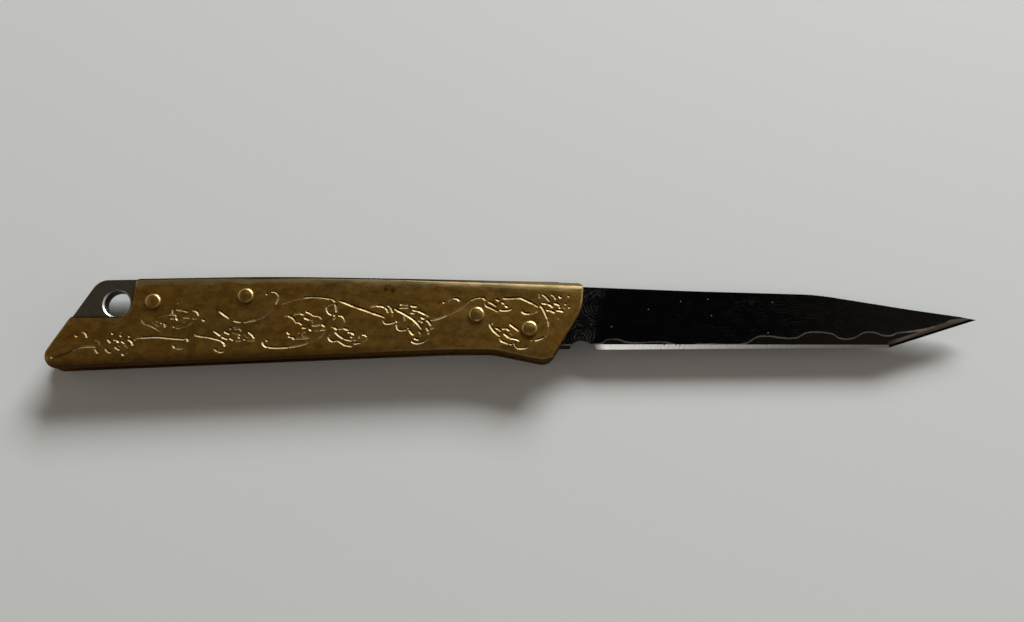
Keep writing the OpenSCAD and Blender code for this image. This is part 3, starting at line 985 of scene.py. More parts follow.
    def from_tip_edge(self, graph: Graph, x: Socket, y: Socket) -> tuple[Socket, Socket]:
        """Measures from the straight edge of the tip.

        Args:
            graph: The material's graph.
            x: Place along the blade in millimetres.
            y: Place across it.

        Returns:
            How far inwards a place lies, and how far it lies ahead of the edge's corner.
        """
        corner = Vector(self.corner)
        run = Vector(self.tip) - corner
        off = Vector((-run.y, run.x)).normalized()
        inward = graph.minus(graph.plus(graph.times(x, off.x), graph.times(y, off.y)), off.dot(corner))
        ahead = graph.minus(graph.plus(graph.times(x, run.x), graph.times(y, run.y)), run.dot(corner))
        return inward, graph.math("DIVIDE", ahead, run.length)

    def paint(self, graph: Graph) -> None:
        """Lays the finish's nodes.

        Args:
            graph: The material's graph.
        """
        where, leaning = graph.split(graph.mapped()), graph.leaning()
        x, y = where.outputs["X"], where.outputs["Y"]
        root = graph.span(graph.minus(x, graph.times(y, self.root_slant)), *self.root_run)
        toward_tip = graph.span(x, *self.tip_run)

        # cladding, its layers and the core below the wavy line
        lines = self.layers(graph, x, y, root)
        ragged = graph.times(graph.minus(graph.mottle(self.ragged_core), NOISE_MIDDLE), self.core_ragged_by)
        above = graph.plus(graph.above(self.core_line, self.depth, x, y), ragged)
        colour = graph.blend(toward_tip, self.cladding, self.near_tip)
        colour = graph.blend(graph.times(lines, self.layer_share), colour,
                             graph.blend(root, self.light_layer, self.root_layer))
        in_core = graph.times(graph.span(above, *self.core_edge), graph.span(toward_tip, *self.core_fades))
        colour = graph.blend(in_core, colour, self.core)
        colour = graph.blend(self.spots(graph, self.flecks, self.fleck_r), colour, self.fleck)

        # the edge: a polished bevel, and a dark and a grey band at the tip
        inward, ahead = self.from_tip_edge(graph, x, y)
        past = graph.span(ahead, *self.past_corner)
        upright = graph.amount(leaning.outputs["Z"])
        low, high = self.bevel_level
        bevel = graph.times(
            graph.math("GREATER_THAN", upright, low), graph.math("LESS_THAN", upright, high),
            graph.math("LESS_THAN", leaning.outputs["Y"], self.bevel_lean), graph.outside(past))
        dulled = tuple(c * self.hone_shade for c in self.polished)
        bright = graph.blend(graph.mottle(self.hone), dulled, self.polished)
        bright = graph.blend(graph.span(x, *self.heel_run), bright, self.heel)
        bright = graph.blend(self.spots(graph, self.nicks, self.nick_r), bright, self.core)
        colour = graph.blend(bevel, colour, bright)
        ground = graph.blend(graph.span(ahead, *self.tip_ground_run), self.core, self.tip_ground)
        banded = graph.blend(graph.span(inward, *self.tip_dark_band), self.cladding, ground)
        colour = graph.blend(graph.times(past, graph.span(inward, *self.tip_band)), colour, banded)

        # the pale line over the core, which widens into the tip
        off_line = graph.minus(graph.amount(above), graph.span(x, *self.line_widens))
        behind_bands = graph.most(graph.outside(past), graph.span(inward, *self.tip_line_band))
        on_line = graph.times(graph.span(off_line, *self.line_band), graph.mottle(self.line_breaks),
                              graph.outside(bevel), behind_bands)
        pale = graph.blend(graph.span(x, *self.line_pales), self.rim, self.rim_tip)
        colour = graph.blend(on_line, colour, pale)

        height = graph.times(graph.plus(lines, on_line), graph.outside(bevel))
        graph.close(Base_Color=colour, Metallic=bevel, Normal=graph.bump(height, *self.relief),
                    Roughness=graph.span(bevel, *self.rough), Specular_IOR_Level=self.specular)


@dataclass(frozen=True)
class BronzeFinish(Finish):
    """Oiled bearing bronze, darkened in its corners by painted shade that is patchy like oil."""

    name: str = "oiled_bronze"
    bright: Colour = (0.48, 0.27, 0.13)
    dark: Colour = (0.12, 0.065, 0.03)
    rough: float = 0.33
    grain: float = 0.15
    tones: Ramp = (0.36, 0.60)

    def paint(self, graph: Graph) -> None:
        """Lays the finish's nodes.

        Args:
            graph: The material's graph.
        """
        around = graph.mapped()
        grain = graph.group(Effects.grain(), Vector=around, Scale=1.6)
        shade_and_grime = graph.group(Effects.shade_and_grime(), Vector=around, Amount=0.9)
        colour = graph.blend(graph.span(grain.outputs["Tone"], *self.tones), self.dark, self.bright)
        # painted shade in corners, patchy like oil
        colour = graph.blend(shade_and_grime.outputs["Dirt"], colour, self.dark)
        graph.close(Base_Color=colour, Metallic=1.0, Roughness=self.rough,
                    Normal=graph.bump(grain.outputs["Height"], self.grain))


# ---------------------------------------------------------------- engraving


class Cut(Enum):
    """Kinds of graver cut: half width in millimetres, slope of its walls, and material slot."""

    WIDE = (0.31, 0.54, 1)
    PLAIN = (0.245, 0.48, 1)
    FAINT = (0.20, 0.36, 1)
    OLD = (0.19, 0.34, 2)
    DIRTY = (0.20, 0.34, 3)


@dataclass(frozen=True)
class Stroke:
    """One cut of the graver, laid out by pixels of the photograph.

    Attributes:
        points: The pixels that it runs through, or the one pixel of a dot.
        cut: The kind of cut.
        step: Greatest distance between points of its path, in millimetres.
        dot_reach: From the middle of a dot to its end, in millimetres.
        end_share: Share of the width at both ends.
        taper: How soon the cut comes to its full width.
    """

    points: tuple[Point, ...]
    cut: Cut
    step: float = 0.2
    dot_reach: Point = (0.24, -0.08)
    end_share: float = 0.40
    taper: float = 5.0

    def path(self) -> Path:
        """Smooths the stroke and tapers its ends.

        Returns:
            Points on the front brass face, each with the cut's half width there.
        """
        half = self.cut.value[0] * MM
        lit_wall = Vector((0.0, half / 2, 0.0))
        laid = [PLANE.place(*p) + lit_wall for p in self.points]
        if len(laid) == 1:
            reach = Vector((*self.dot_reach, 0.0)) * MM
            laid = [laid[0] - reach, laid[0] + reach]
        ends = [2 * laid[0] - laid[1], *laid, 2 * laid[-1] - laid[-2]]
        places: list[Vector] = []
        for a, b, c, d in zip(ends, ends[1:], ends[2:], ends[3:]):
            count = max(3, round((c - b).length / (self.step * MM)))
            for i in range(count):
                t = i / count
                places.append(0.5 * (2 * b + (c - a) * t + (2 * a - 5 * b + 4 * c - d) * t * t
                                     + (3 * b - a - 3 * c + d) * t ** 3))
        places.append(laid[-1])
        last, swell = len(places) - 1, 1.0 - self.end_share
        shares = (min(1.0, self.taper * math.sin(math.pi * i / last)) for i in range(last + 1))
        return [(place, half * (self.end_share + swell * share)) for place, share in zip(places, shares)]


@dataclass(frozen=True)
class Sprig:
    """A leaf or a stretch of vine: the pixels of its cuts, by kind, and of its punched dots."""

    wide: tuple[tuple[Point, ...], ...] = ()
    plain: tuple[tuple[Point, ...], ...] = ()
    faint: tuple[tuple[Point, ...], ...] = ()
    old: tuple[tuple[Point, ...], ...] = ()
    dirty: tuple[tuple[Point, ...], ...] = ()
    dots: tuple[Point, ...] = ()

    def strokes(self) -> list[Stroke]:
        """Makes the sprig's cuts, kind by kind; a dot is a cut of one point."""
        kinds = ((Cut.WIDE, (*self.wide, *((dot,) for dot in self.dots))), (Cut.PLAIN, self.plain),
                 (Cut.FAINT, self.faint), (Cut.OLD, self.old), (Cut.DIRTY, self.dirty))
        return [Stroke(line, cut) for cut, lines in kinds for line in lines]


def ring(px: float, py: float, radius: float = 2.0, count: int = 10) -> tuple[Point, ...]:
    """Pixels round a small berry whose middle is at px, py."""
    turns = (math.tau * i / count for i in range(count))
    return tuple((px + radius * math.cos(turn), py + radius * math.sin(turn)) for turn in turns)


SCROLL = {
    "tail vine": Sprig(
        wide=(((185.4, 338.9), (187, 339.2), (187.4, 341.8)), ((172.8, 345.2), (173.6, 347), (175, 348.3))),
        plain=(((139.7, 338), (148.3, 337.3), (157, 337.1), (165.6, 337.9), (173.2, 338.6), (181.8, 339.2),
                (185.6, 339)),),
        faint=(((78, 348.4), (82, 347.2), (86, 346.8), (93, 346.8), (95.5, 347.6)),
               ((133.8, 341), (134.4, 339.2), (136.2, 338.4), (139.7, 338)),
               ((175.2, 348.4), (178, 348.9), (182.7, 348.1))),
        old=(((72, 350.8), (75, 349.4), (78, 348.4)), ((180.9, 327.3), (186, 325.6), (193, 322))),
        dirty=(((53.6, 357.4), (58, 356.2), (64, 354), (68.6, 352.2), (72, 350.8)),),
        dots=((51.3, 357.4),)),
    "second vine": Sprig(
        wide=(((218.6, 311.3), (220.7, 312.6), (224.2, 315.2), (229.4, 318.7)),
              ((220.6, 341.2), (222.4, 342.2), (224, 344), (224.2, 346.8)),
              ((214.3, 348.3), (215.4, 350.3), (217.4, 351.6))),
        plain=(((193.6, 336), (195.7, 335.5), (201.7, 336.6), (207.8, 337.3), (213, 338.6), (218.2, 339.9),
                (221, 341.2)), ((217.4, 351.6), (220.7, 352), (223.3, 351.1)),
               ((233, 320.9), (238, 321.8), (241, 322)), ((243.2, 322.1), (246.2, 321.9))),
        faint=(((246, 321.8), (250, 321.1), (256, 320)),),
        old=(((256, 320), (260.6, 317.8), (266.6, 314.3), (270, 311), (272.7, 308.3)),),
        dirty=(((215, 309.2), (217.6, 310.4)),),
        dots=((195.2, 334.9),)),
    "middle vine": Sprig(
        wide=(((262.3, 341), (262.6, 344), (264.6, 346.2), (267.4, 347.2)),
              ((331, 299.3), (333.6, 300.4), (334.8, 302.6)),
              ((334.4, 303.6), (335.6, 306.4), (336.2, 312.6)),
              ((337.7, 300.9), (343.7, 302.6), (352.4, 306.1), (361, 309.1), (369.7, 312.2), (378.3, 315.2),
               (382.4, 316.6), (384, 318.2))),
        plain=(((267.4, 347.2), (274, 347.8), (281.3, 347.6), (288, 347.4)),
               ((302, 298), (307, 297.4), (313.4, 297.1), (322, 297.7), (331, 299.2)),
               ((270.8, 291.9), (274.4, 292), (277, 294), (278.3, 296.6)),
               ((327.2, 305.4), (326.2, 308.6), (327.2, 311.9), (329.2, 313.9), (331.8, 315)),
               ((337.8, 315.8), (340.6, 315.7), (342.8, 317.4), (344.2, 320), (344, 322)),
               ((361.4, 334.7), (364.5, 335.1), (366.4, 336.9))),
        faint=(((288, 347.4), (296, 346.2), (303, 344.4), (310, 341.8)),
               ((292, 300.4), (297.8, 298.7), (302, 298)), ((278.2, 296.6), (277.2, 300.3), (275.2, 304.4)),
               ((335, 317.2), (332.5, 320))),
        old=(((310, 341.8), (315.2, 338.6), (320.3, 336), (325, 331.6)),
             ((281, 304), (286, 302.4), (292, 300.4)), ((333.6, 304), (330.4, 304.4), (327.4, 305.4)),
             ((366.6, 337.4), (366.2, 339.4), (362.7, 341.6))),
        dots=((266.3, 294.2), (266.5, 340.6), (334.2, 315.6))),
    "front vine": Sprig(
        wide=(((481.4, 297.6), (483.8, 298.8), (485.6, 300.8)),
              ((453, 298.6), (456.4, 298.7), (458.4, 300), (459.2, 301.8)),
              ((502, 298.4), (510.7, 298.4), (519.4, 298.1), (523.7, 299.6), (529.8, 302.4), (534.1, 304.6),
               (537.6, 307.2)),
              ((539.6, 305.6), (541.9, 308.1), (544.1, 312), (546.2, 316.7), (547.2, 319.4)),
              ((521, 310.8), (522.6, 312.6), (526, 313.7), (530, 313.7))),
        plain=(((470.3, 300.4), (474, 298.6), (478, 297.8), (481.6, 297.8)),
               ((547.2, 319.4), (548, 322.8), (548.4, 327.2)),
               ((544, 336.8), (540.4, 338.8), (534.4, 340.6))),
        faint=(((430, 320.4), (434.8, 319.6), (440.8, 317.8), (446.9, 315)),
               ((447.4, 301.2), (450.2, 299.3), (453, 298.6)), ((530, 313.7), (534, 312.8), (537.4, 311)),
               ((547, 334.6), (544, 336.8))),
        old=(((446.9, 315), (453, 312.4), (459, 308.7), (465, 304.8), (470.3, 300.4)),
             ((548.4, 327.2), (548.3, 331), (547, 334.6))),
        dots=((443.3, 302.4),)),
    "tail sprig": Sprig(
        wide=(((74.4, 334.6), (75.6, 336), (77, 337)),
              ((83.4, 332.2), (85, 333.6), (86, 335.6), (86.4, 337.8))),
        faint=(((81, 332.2), (83.4, 332.2)),)),
    "first leaf": Sprig(
        wide=(((106.6, 339.3), (108.6, 340.8), (109.8, 343.3)),
              ((104.8, 348.1), (106.2, 350.5), (108.2, 352.1), (110.7, 352)),
              ((127.2, 339.8), (129.8, 340.6), (131.6, 342.8), (132.5, 345.8)),
              ((95, 348.8), (95.5, 350.6), (96.6, 352.2), (98.2, 353.6)),
              ((115.8, 340.4), (117.2, 341.2), (118.6, 342.8)), ((121.8, 353), (123, 356))),
        plain=(((112.9, 339.8), (115.8, 340.2)), ((114.2, 347.2), (117.2, 348.9), (119.4, 350)),
               ((120.7, 341.4), (124.6, 343.4))),
        faint=(((123.4, 344.4), (125.4, 345.9), (127.3, 348.3)), ((125.6, 353.6), (127, 352.6))),
        old=(((94, 339.8), (97.7, 341), (99.2, 343), (99.4, 345.6)), ((117.4, 345.4), (121, 347.6))),
        dots=((112, 333.6), (120.4, 335.8), (128.8, 336.4))),
    "second leaf": Sprig(
        wide=(((163.4, 323), (164.6, 324.8), (164.4, 327.6)), ((175, 317.9), (176.5, 318.9), (177.3, 320.8)),
              ((201, 319.7), (203.2, 320.2), (204, 321.6)),
              ((194, 310.8), (196.4, 311.8), (197.8, 313.8), (198.3, 316.2))),
        plain=(((159.6, 322.8), (162.6, 323.4)), ((183, 310.9), (187.8, 311.9))),
        faint=(((141, 319.5), (142, 322), (143.6, 323.9), (148.3, 325.4), (152.7, 327.3), (157, 330),
                (160.5, 331.4)), ((155.3, 321.2), (159, 322.3)), ((171.9, 309.5), (172.2, 313.7)),
               ((168.2, 315.2), (171.4, 314.4), (174.8, 315.2), (175.8, 317.4)),
               ((169.7, 318.7), (173.6, 318.7)), ((175.5, 309.9), (179.6, 310.3), (183, 310.9)),
               ((192, 310.6), (194, 310.8)), ((183, 317.8), (189.4, 318)), ((192, 318.4), (197.4, 318.9)),
               ((175.2, 327.7), (178, 328.2), (180.9, 327.3))),
        old=(((151.6, 321.6), (154.6, 323.8), (158.6, 326.2)),
             ((157.5, 317.4), (162.5, 316), (167.6, 314.8))),
        dots=((173.4, 326.8),)),
    "third leaf": Sprig(
        wide=(((213.2, 331), (216.9, 333.4), (220.3, 336)), ((223.6, 331.7), (226.8, 333), (229.4, 334.4))),
        plain=(((221, 337), (224.2, 338.2), (227.4, 339.4)), ((228.8, 338.4), (231.2, 339.4), (233, 340.3)),
               ((247.6, 332.2), (250, 333.6), (252.2, 335.9), (254, 338.6))),
        faint=(((235, 340.8), (241, 340.9)), ((231.6, 332.4), (235, 333.6), (238.6, 334.8)),
               ((233.7, 329), (238.9, 329), (241, 331.4)), ((246.7, 340.6), (251, 340.6), (254.7, 340.1))),
        old=(((243.2, 334), (245.6, 336.6), (248.6, 338)), ((232.6, 327.4), (237, 327.4))),
        dots=((230.3, 328.8), (239.4, 334.8), (238.7, 337.4), (244.1, 339.4))),
    "fourth leaf": Sprig(
        wide=(((287.5, 315.9), (291.4, 317.4), (294, 319.9), (294.4, 322.1)),
              ((303.6, 317.6), (306, 318.6), (309.4, 320)), ((321.2, 324.3), (325.1, 326.8)),
              ((308.4, 328.8), (311.2, 331)), ((286.6, 331.7), (289, 334.9)),
              ((291, 337.3), (292.8, 338), (294.1, 340))),
        plain=(((294.4, 322.3), (298.8, 322.8), (301.7, 325)), ((299.6, 313.6), (303.9, 314.7)),
               ((305.2, 311.6), (309.1, 313), (313.4, 315.6), (317.7, 316.1), (319.8, 317.2), (321.4, 319.3)),
               ((287.6, 336.6), (291, 337.2)), ((301.3, 327.7), (306, 327.9))),
        faint=(((283.4, 316.4), (287.5, 315.9)), ((293.5, 315), (296, 314), (299.6, 313.6)),
               ((311.4, 325.4), (315, 325.8), (320.3, 324.5)),
               ((295.2, 338.8), (301.3, 338.5), (309.1, 337.6)), ((319.6, 330.2), (325.5, 329.6))),
        old=(((309.8, 320.2), (311.9, 320.6), (312, 323.6)), ((314.3, 330.8), (319.6, 330.2)),
             ring(303.7, 334.2))),
    "fifth leaf": Sprig(
        wide=(((343, 328.6), (345.6, 329), (348.4, 330.3)), ((350, 332.6), (352, 333.4), (354.2, 334.9)),
              ((334.4, 331.4), (336.8, 334.2), (340.2, 336.8), (343.7, 339)),
              ((328.2, 336.4), (328.6, 338.8), (330.4, 340.6), (333, 341.7)),
              ((333, 327.4), (335, 328.4), (337, 329.9))),
        plain=(((330.7, 326.6), (333, 327.4)), ((347.2, 332.3), (350, 332.6)),
               ((349.8, 336.8), (352.4, 337.7)), ((343.7, 339), (348, 340.1), (352, 340.4)),
               ((333, 341.7), (336.8, 340.6), (340, 342.4), (343.7, 344.8), (348, 345.8), (351.9, 346.2)),
               ((353.2, 343.9), (360.1, 342.7))),
        faint=(((338.1, 329.4), (342.6, 328.6)), ((352, 340.4), (356.4, 340.1)),
               ((358.9, 335.1), (358.6, 338.5))),
        old=(((331.6, 333), (329, 335), (328.2, 336.6)),)),
    "sixth leaf": Sprig(
        wide=(((376, 306), (381, 306.2), (384.4, 307.8)), ((389.6, 306.6), (391, 309), (392.7, 313)),
              ((394, 308.8), (396.7, 310.4), (402.8, 313.5), (408, 316.5), (413.2, 320), (416.6, 323.4),
               (419.2, 326.4), (421.3, 329.6)), ((410.2, 306), (413.4, 306.3), (416.8, 306.6)),
              ((417, 311), (420.4, 312.3), (425.4, 314.8)), ((420.2, 317.5), (422.4, 318.2), (424.4, 319.3)),
              ((425.4, 320.2), (427.4, 321.2), (429.4, 323.6), (431.2, 326)),
              ((425.4, 327), (426.8, 328.8), (428, 331.4)), ((418.4, 331), (419.8, 332.7), (420.4, 334.8)),
              ((413.4, 338.1), (415.6, 339.1), (418.8, 339.9)),
              ((408.4, 329.4), (410, 331.7), (411.6, 333.8), (413.8, 334.7))),
        plain=(((384.4, 307.8), (386.6, 309.6), (387.6, 313)), ((387.4, 305.7), (389.6, 306.6)),
               ((411.9, 310), (417, 311)), ((409.8, 313.2), (414.6, 313)),
               ((382.8, 319.4), (383.2, 322), (385, 323.6), (388.4, 323.7), (392.4, 322.7), (395.4, 321.7)),
               ((396, 323.6), (396.4, 326.8), (397.6, 329.4), (400.4, 330.4), (404, 330), (406.6, 329.1)),
               ((410.8, 341.1), (412.6, 342.5), (416.4, 343.4), (420.4, 342.7), (424.4, 341.2))),
        faint=(((369.4, 306.8), (376, 306)), ((403.6, 314.6), (404.1, 317.8), (404.1, 321)),
               ((399.8, 304.4), (403, 304.8), (408, 305.2)), ((399, 308.2), (403, 308), (408, 307.9)),
               ((425.4, 314.8), (428.7, 316.9)), ((417.4, 320.8), (420.6, 321.4)),
               ((428.1, 331.6), (427.8, 334.8)), ((430, 329), (433.9, 327.7)),
               ((420.4, 334.8), (419.8, 336.8))),
        old=(((413.6, 322.4), (413.8, 325.8)), ((424.4, 341.2), (427, 339.8), (428.9, 337.8)),
             ((392, 314), (392.2, 316.6))),
        dots=((396.2, 321.4), (407.8, 328.1), (421.6, 322), (400.6, 304.4))),
    "seventh leaf": Sprig(
        wide=(((487.2, 301.3), (490, 302.7), (493.4, 304.6), (496.4, 306.7)),
              ((484.8, 303.2), (486, 306), (489, 307.4), (493, 309.2), (496.2, 311), (498.2, 311.3)),
              ((495, 299.7), (497, 299.9), (499, 301.4)), ((500.8, 302.5), (502.6, 302.9), (504.2, 304.2)),
              ((504.3, 305.4), (507.9, 307.4))),
        plain=(((499, 310), (503.4, 310.6), (507.6, 310.2), (511.2, 308.9)),)),
    "eighth leaf": Sprig(
        wide=(((489.4, 323), (490, 326.2), (492.4, 330), (496, 333.4), (499.8, 336.4)),
              ((495, 328.3), (498.2, 329.1), (500.6, 331.6)), ((505, 328.7), (507, 329.1), (509.2, 331)),
              ((503, 333.2), (506, 335.6), (509, 338)), ((509, 324.1), (513.3, 327.1), (518.7, 331.1)),
              ((499.8, 337.2), (500, 340), (501.8, 341.5), (505, 342.6), (508.4, 344.2))),
        plain=(((501.4, 328.8), (505, 328.7)), ((509, 338.2), (514.2, 338.9), (519.4, 340.9)),
               ((508.4, 344.2), (512, 344.2)),
               ((513.4, 343.1), (514.6, 345.6), (516.6, 347.8), (519.4, 348.5), (524, 348.2),
                (527.6, 347.1))),
        old=(((509, 332.6), (512, 335)),)),
    "ninth leaf": Sprig(
        wide=(((539, 292.8), (539.3, 298.6)), ((541.7, 294.2), (545.2, 296.8), (547.3, 299), (549.3, 301.6)),
              ((558.4, 295.8), (560.9, 298.4)), ((547, 304.2), (550, 305.2), (552.7, 307.9)),
              ((553.4, 303.5), (556.6, 304.1), (559.4, 306)), ((549.4, 310.7), (552, 311.5), (554.6, 313)),
              ((555.6, 310.5), (560.1, 310.8), (563.3, 312))),
        plain=(((550.6, 294.6), (553.1, 295.9), (555.5, 299.6)), ((541, 303), (547, 304)),
               ((545.6, 310), (549.6, 310.6))),
        old=(((562.6, 308), (565.4, 308)),),
        dots=((568.2, 296.4), (559.2, 307.6), (565.2, 304.2), (568.8, 307.3))),
    "scattered dots": Sprig(
        faint=(((557.6, 318.2), (558.6, 319)), ((530, 340.4), (531.6, 340.4)), ((119.6, 332.6), (122, 332.4)),
               ((176.6, 303.2), (178.4, 302.8)), ((183.6, 321.2), (184.2, 322.6)),
               ((297.4, 333), (299.4, 333)), ((491.8, 322.6), (492.2, 324.6)))),
}


@dataclass(frozen=True)
class Facet:
    """A long flat that wear has taken off the back edge of a scale.

    Attributes:
        widths: Two places along the knife, each with the facet's width there, in millimetres.
        tilt: How far the flat leans, in degrees.
        run: Length of the block that cuts it, in metres.
        size: The block's width and height, in metres.
    """

    widths: tuple[Point, Point]
    tilt: float
    run: float = 0.14
    size: float = 0.008

    @staticmethod
    def reach(plate: bpy.types.Object, x: float) -> float:
        """Finds how far back the plate reaches at one place along it.

        Args:
            plate: The plate's copy.
            x: The place, in metres.

        Returns:
            The greatest y there.
        """
        found = []
        for edge in plate.data.edges:
            one, two = sorted((plate.data.vertices[i].co for i in edge.vertices), key=lambda p: p.x)
            if one.x <= x < two.x:
                found.append(one.lerp(two, (x - one.x) / (two.x - one.x)).y)
        return max(found)

    def block(self, plate: bpy.types.Object) -> bpy.types.Object:
        """Makes the block whose lower side is the facet's plane.

        Args:
            plate: The plate's copy.

        Returns:
            The block.
        """
        spots = [Vector((x * MM, self.reach(plate, x * MM) - width * MM, FRONT_FACE * MM))
                 for x, width in self.widths]
        along = (spots[1] - spots[0]).normalized()
        bpy.ops.object.select_all(action="DESELECT")
        bpy.ops.mesh.primitive_cube_add(size=1.0)
        block = only(bpy.context.object)
        block.matrix_world = (
            Matrix.Translation((spots[0] + spots[1]) / 2)
            @ Matrix.Rotation(math.atan2(along.y, along.x), 4, "Z")
            @ Matrix.Rotation(-math.radians(self.tilt), 4, "X")
            @ Matrix.Translation(Vector((0, 0, self.size / 2)))
            @ Matrix.Diagonal((self.run, self.size, self.size, 1.0)))
        return settle(block, "facet_block")


FACETS = (Facet(((-36.0, 0.60), (14.0, 1.65)), tilt=6.0),
          Facet(((-36.0, 0.36), (14.0, 1.22)), tilt=14.0),
          Facet(((-36.0, 0.28), (14.0, 0.46)), tilt=50.0))


@dataclass
class EngravedScales:
    """The brass scales: the vine scroll is cut into one, and the other is its mirror image.

    Attributes:
        front_finish: The front scale's brass.
        rear_finish: The rear scale's brass.
        cut_finishes: What the cuts' slots show, in order.
        smooth_angle: The angle from which an edge stays sharp, in degrees.
        room: Free space round a cut, in half widths.
        lead: How far the graver's section stands above the face, in half widths.
    """

    front_finish: bpy.types.Material
    rear_finish: bpy.types.Material
    cut_finishes: tuple[bpy.types.Material, ...]
    smooth_angle: float = 20.0
    room: float = 2.0
    lead: float = 0.6

    def batches(self, kind: Cut) -> list[list[Path]]:
        """Sorts the cuts of one kind so that those in one batch stay clear of each other.

        Args:
            kind: The kind of cut.

        Returns:
            Batches of paths.
        """
        room = self.room * kind.value[0] * MM
        sorted_cuts: list[list[Path]] = []
        boxes: list[list[Box]] = []
        for path in (s.path() for sprig in SCROLL.values() for s in sprig.strokes() if s.cut is kind):
            xs, ys = [p.x for p, _ in path], [p.y for p, _ in path]
            box = (min(xs) - room, min(ys) - room, max(xs) + room, max(ys) + room)
            for cuts, taken in zip(sorted_cuts, boxes):
                if all(box[0] >= t[2] or t[0] >= box[2] or box[1] >= t[3] or t[1] >= box[3] for t in taken):
                    cuts.append(path)
                    taken.append(box)
                    break
            else:
                sorted_cuts.append([path])
                boxes.append([box])
        return sorted_cuts

    def profile(self) -> bpy.types.Object:
        """The graver's section: a V that reaches a little above the face.

        Returns:
            A closed curve, one unit wide at the face on each side.
        """
        data = bpy.data.curves.new("graver_section", "CURVE")
        data.dimensions = "2D"
        line = data.splines.new("POLY")
        line.points.add(2)
        wide = 1.0 + self.lead
        for point, (x, y) in zip(line.points, ((-wide, self.lead), (wide, self.lead), (0.0, -1.0))):
            point.co = (x, y, 0.0, 1.0)
        line.use_cyclic_u = True
        return add("graver_section", data)

    def lay_finishes(self, piece: bpy.types.Object) -> None:
        """Gives a piece the front scale's slots: the brass, then each kind of cut."""
        for finish in (self.front_finish, *self.cut_finishes):
            piece.data.materials.append(finish)

    def cutter(self, paths: list[Path], section: bpy.types.Object, kind: Cut) -> bpy.types.Object:
        """Sweeps the graver's section along paths.

        Args:
            paths: Points with half widths.
            section: The section that is swept.
            kind: The kind of cut, for its slope and finish.

        Returns:
            The mesh of all the cuts.
        """
        data = bpy.data.curves.new("graver_cuts", "CURVE")
        data.dimensions = "3D"
        data.twist_mode = "Z_UP"
        data.bevel_mode = "OBJECT"
        data.bevel_object = section
        data.use_fill_caps = True
        for path in paths:
            line = data.splines.new("POLY")
            line.points.add(len(path) - 1)
            for point, (place, half) in zip(line.points, path):
                point.co = (place.x, place.y, 0.0, 1.0)
                point.radius = half
        cuts = only(add("graver_cuts", data))
        bpy.ops.object.convert(target="MESH")
        _, slope, slot = kind.value
        cuts.scale = (1.0, 1.0, slope)
        cuts.location = (0.0, 0.0, FRONT_FACE * MM)
        settle(cuts, "graver_cuts")
        tidy_mesh(cuts)
        self.lay_finishes(cuts)
        for face in cuts.data.polygons:
            face.material_index = slot
        return cuts

    @staticmethod
    def carve(plate: bpy.types.Object, cutter: bpy.types.Object) -> None:
        """Takes a cutter out of the plate and removes the cutter."""
        modify(plate, "BOOLEAN", operation="DIFFERENCE", solver="MANIFOLD", object=cutter)
        bpy.data.objects.remove(cutter)

    def engraved(self) -> bpy.types.Object:
        """Cuts the scroll into a copy of the solid front plate.

        Returns:
            The engraved front plate.
        """
        plate = add("engraved_scale_front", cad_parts["scale_front"].data.copy())
        settle(plate, "engraved_scale_front")
        bpy.ops.mesh.customdata_custom_splitnormals_clear()
        tidy_mesh(plate)
        plate.data.materials.clear()
        self.lay_finishes(plate)
        for facet in FACETS:
            block = facet.block(plate)
            block.data.materials.append(self.front_finish)
            self.carve(plate, block)
        section = self.profile()
        for kind in Cut:
            for paths in self.batches(kind):
                self.carve(plate, self.cutter(paths, section, kind))
        bpy.data.objects.remove(section)
        return plate

    def mirrored(self, plate: bpy.types.Object) -> bpy.types.Object:
        """Mirrors the front plate into the rear one, whose solid is the same plate turned over.

        Args:
            plate: The engraved front plate.

        Returns:
            The rear plate.
        """
        rear = copied(plate)
        rear.scale = (1.0, 1.0, -1.0)
        rear.location = (0.0, 0.0, (REAR_FACE + FRONT_FACE) * MM)
        settle(rear, "engraved_scale_rear")
        tidy_mesh(rear)
        rear.material_slots[0].material = self.rear_finish
        return rear

    def build(self) -> None:
        """Makes both scales and sets them in the place of their solids."""
        front = self.engraved()
        for plate, node in ((front, "scale_front"), (self.mirrored(front), "scale_rear")):
            smooth(plate, self.smooth_angle)
            modify(plate, "WEIGHTED_NORMAL", keep_sharp=True, weight=100)
            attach(plate, "handle")
            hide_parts(node)
            LOG.info("%s: engraved, %d faces", plate.name, len(plate.data.polygons))


# ---------------------------------------------------------------- rivets


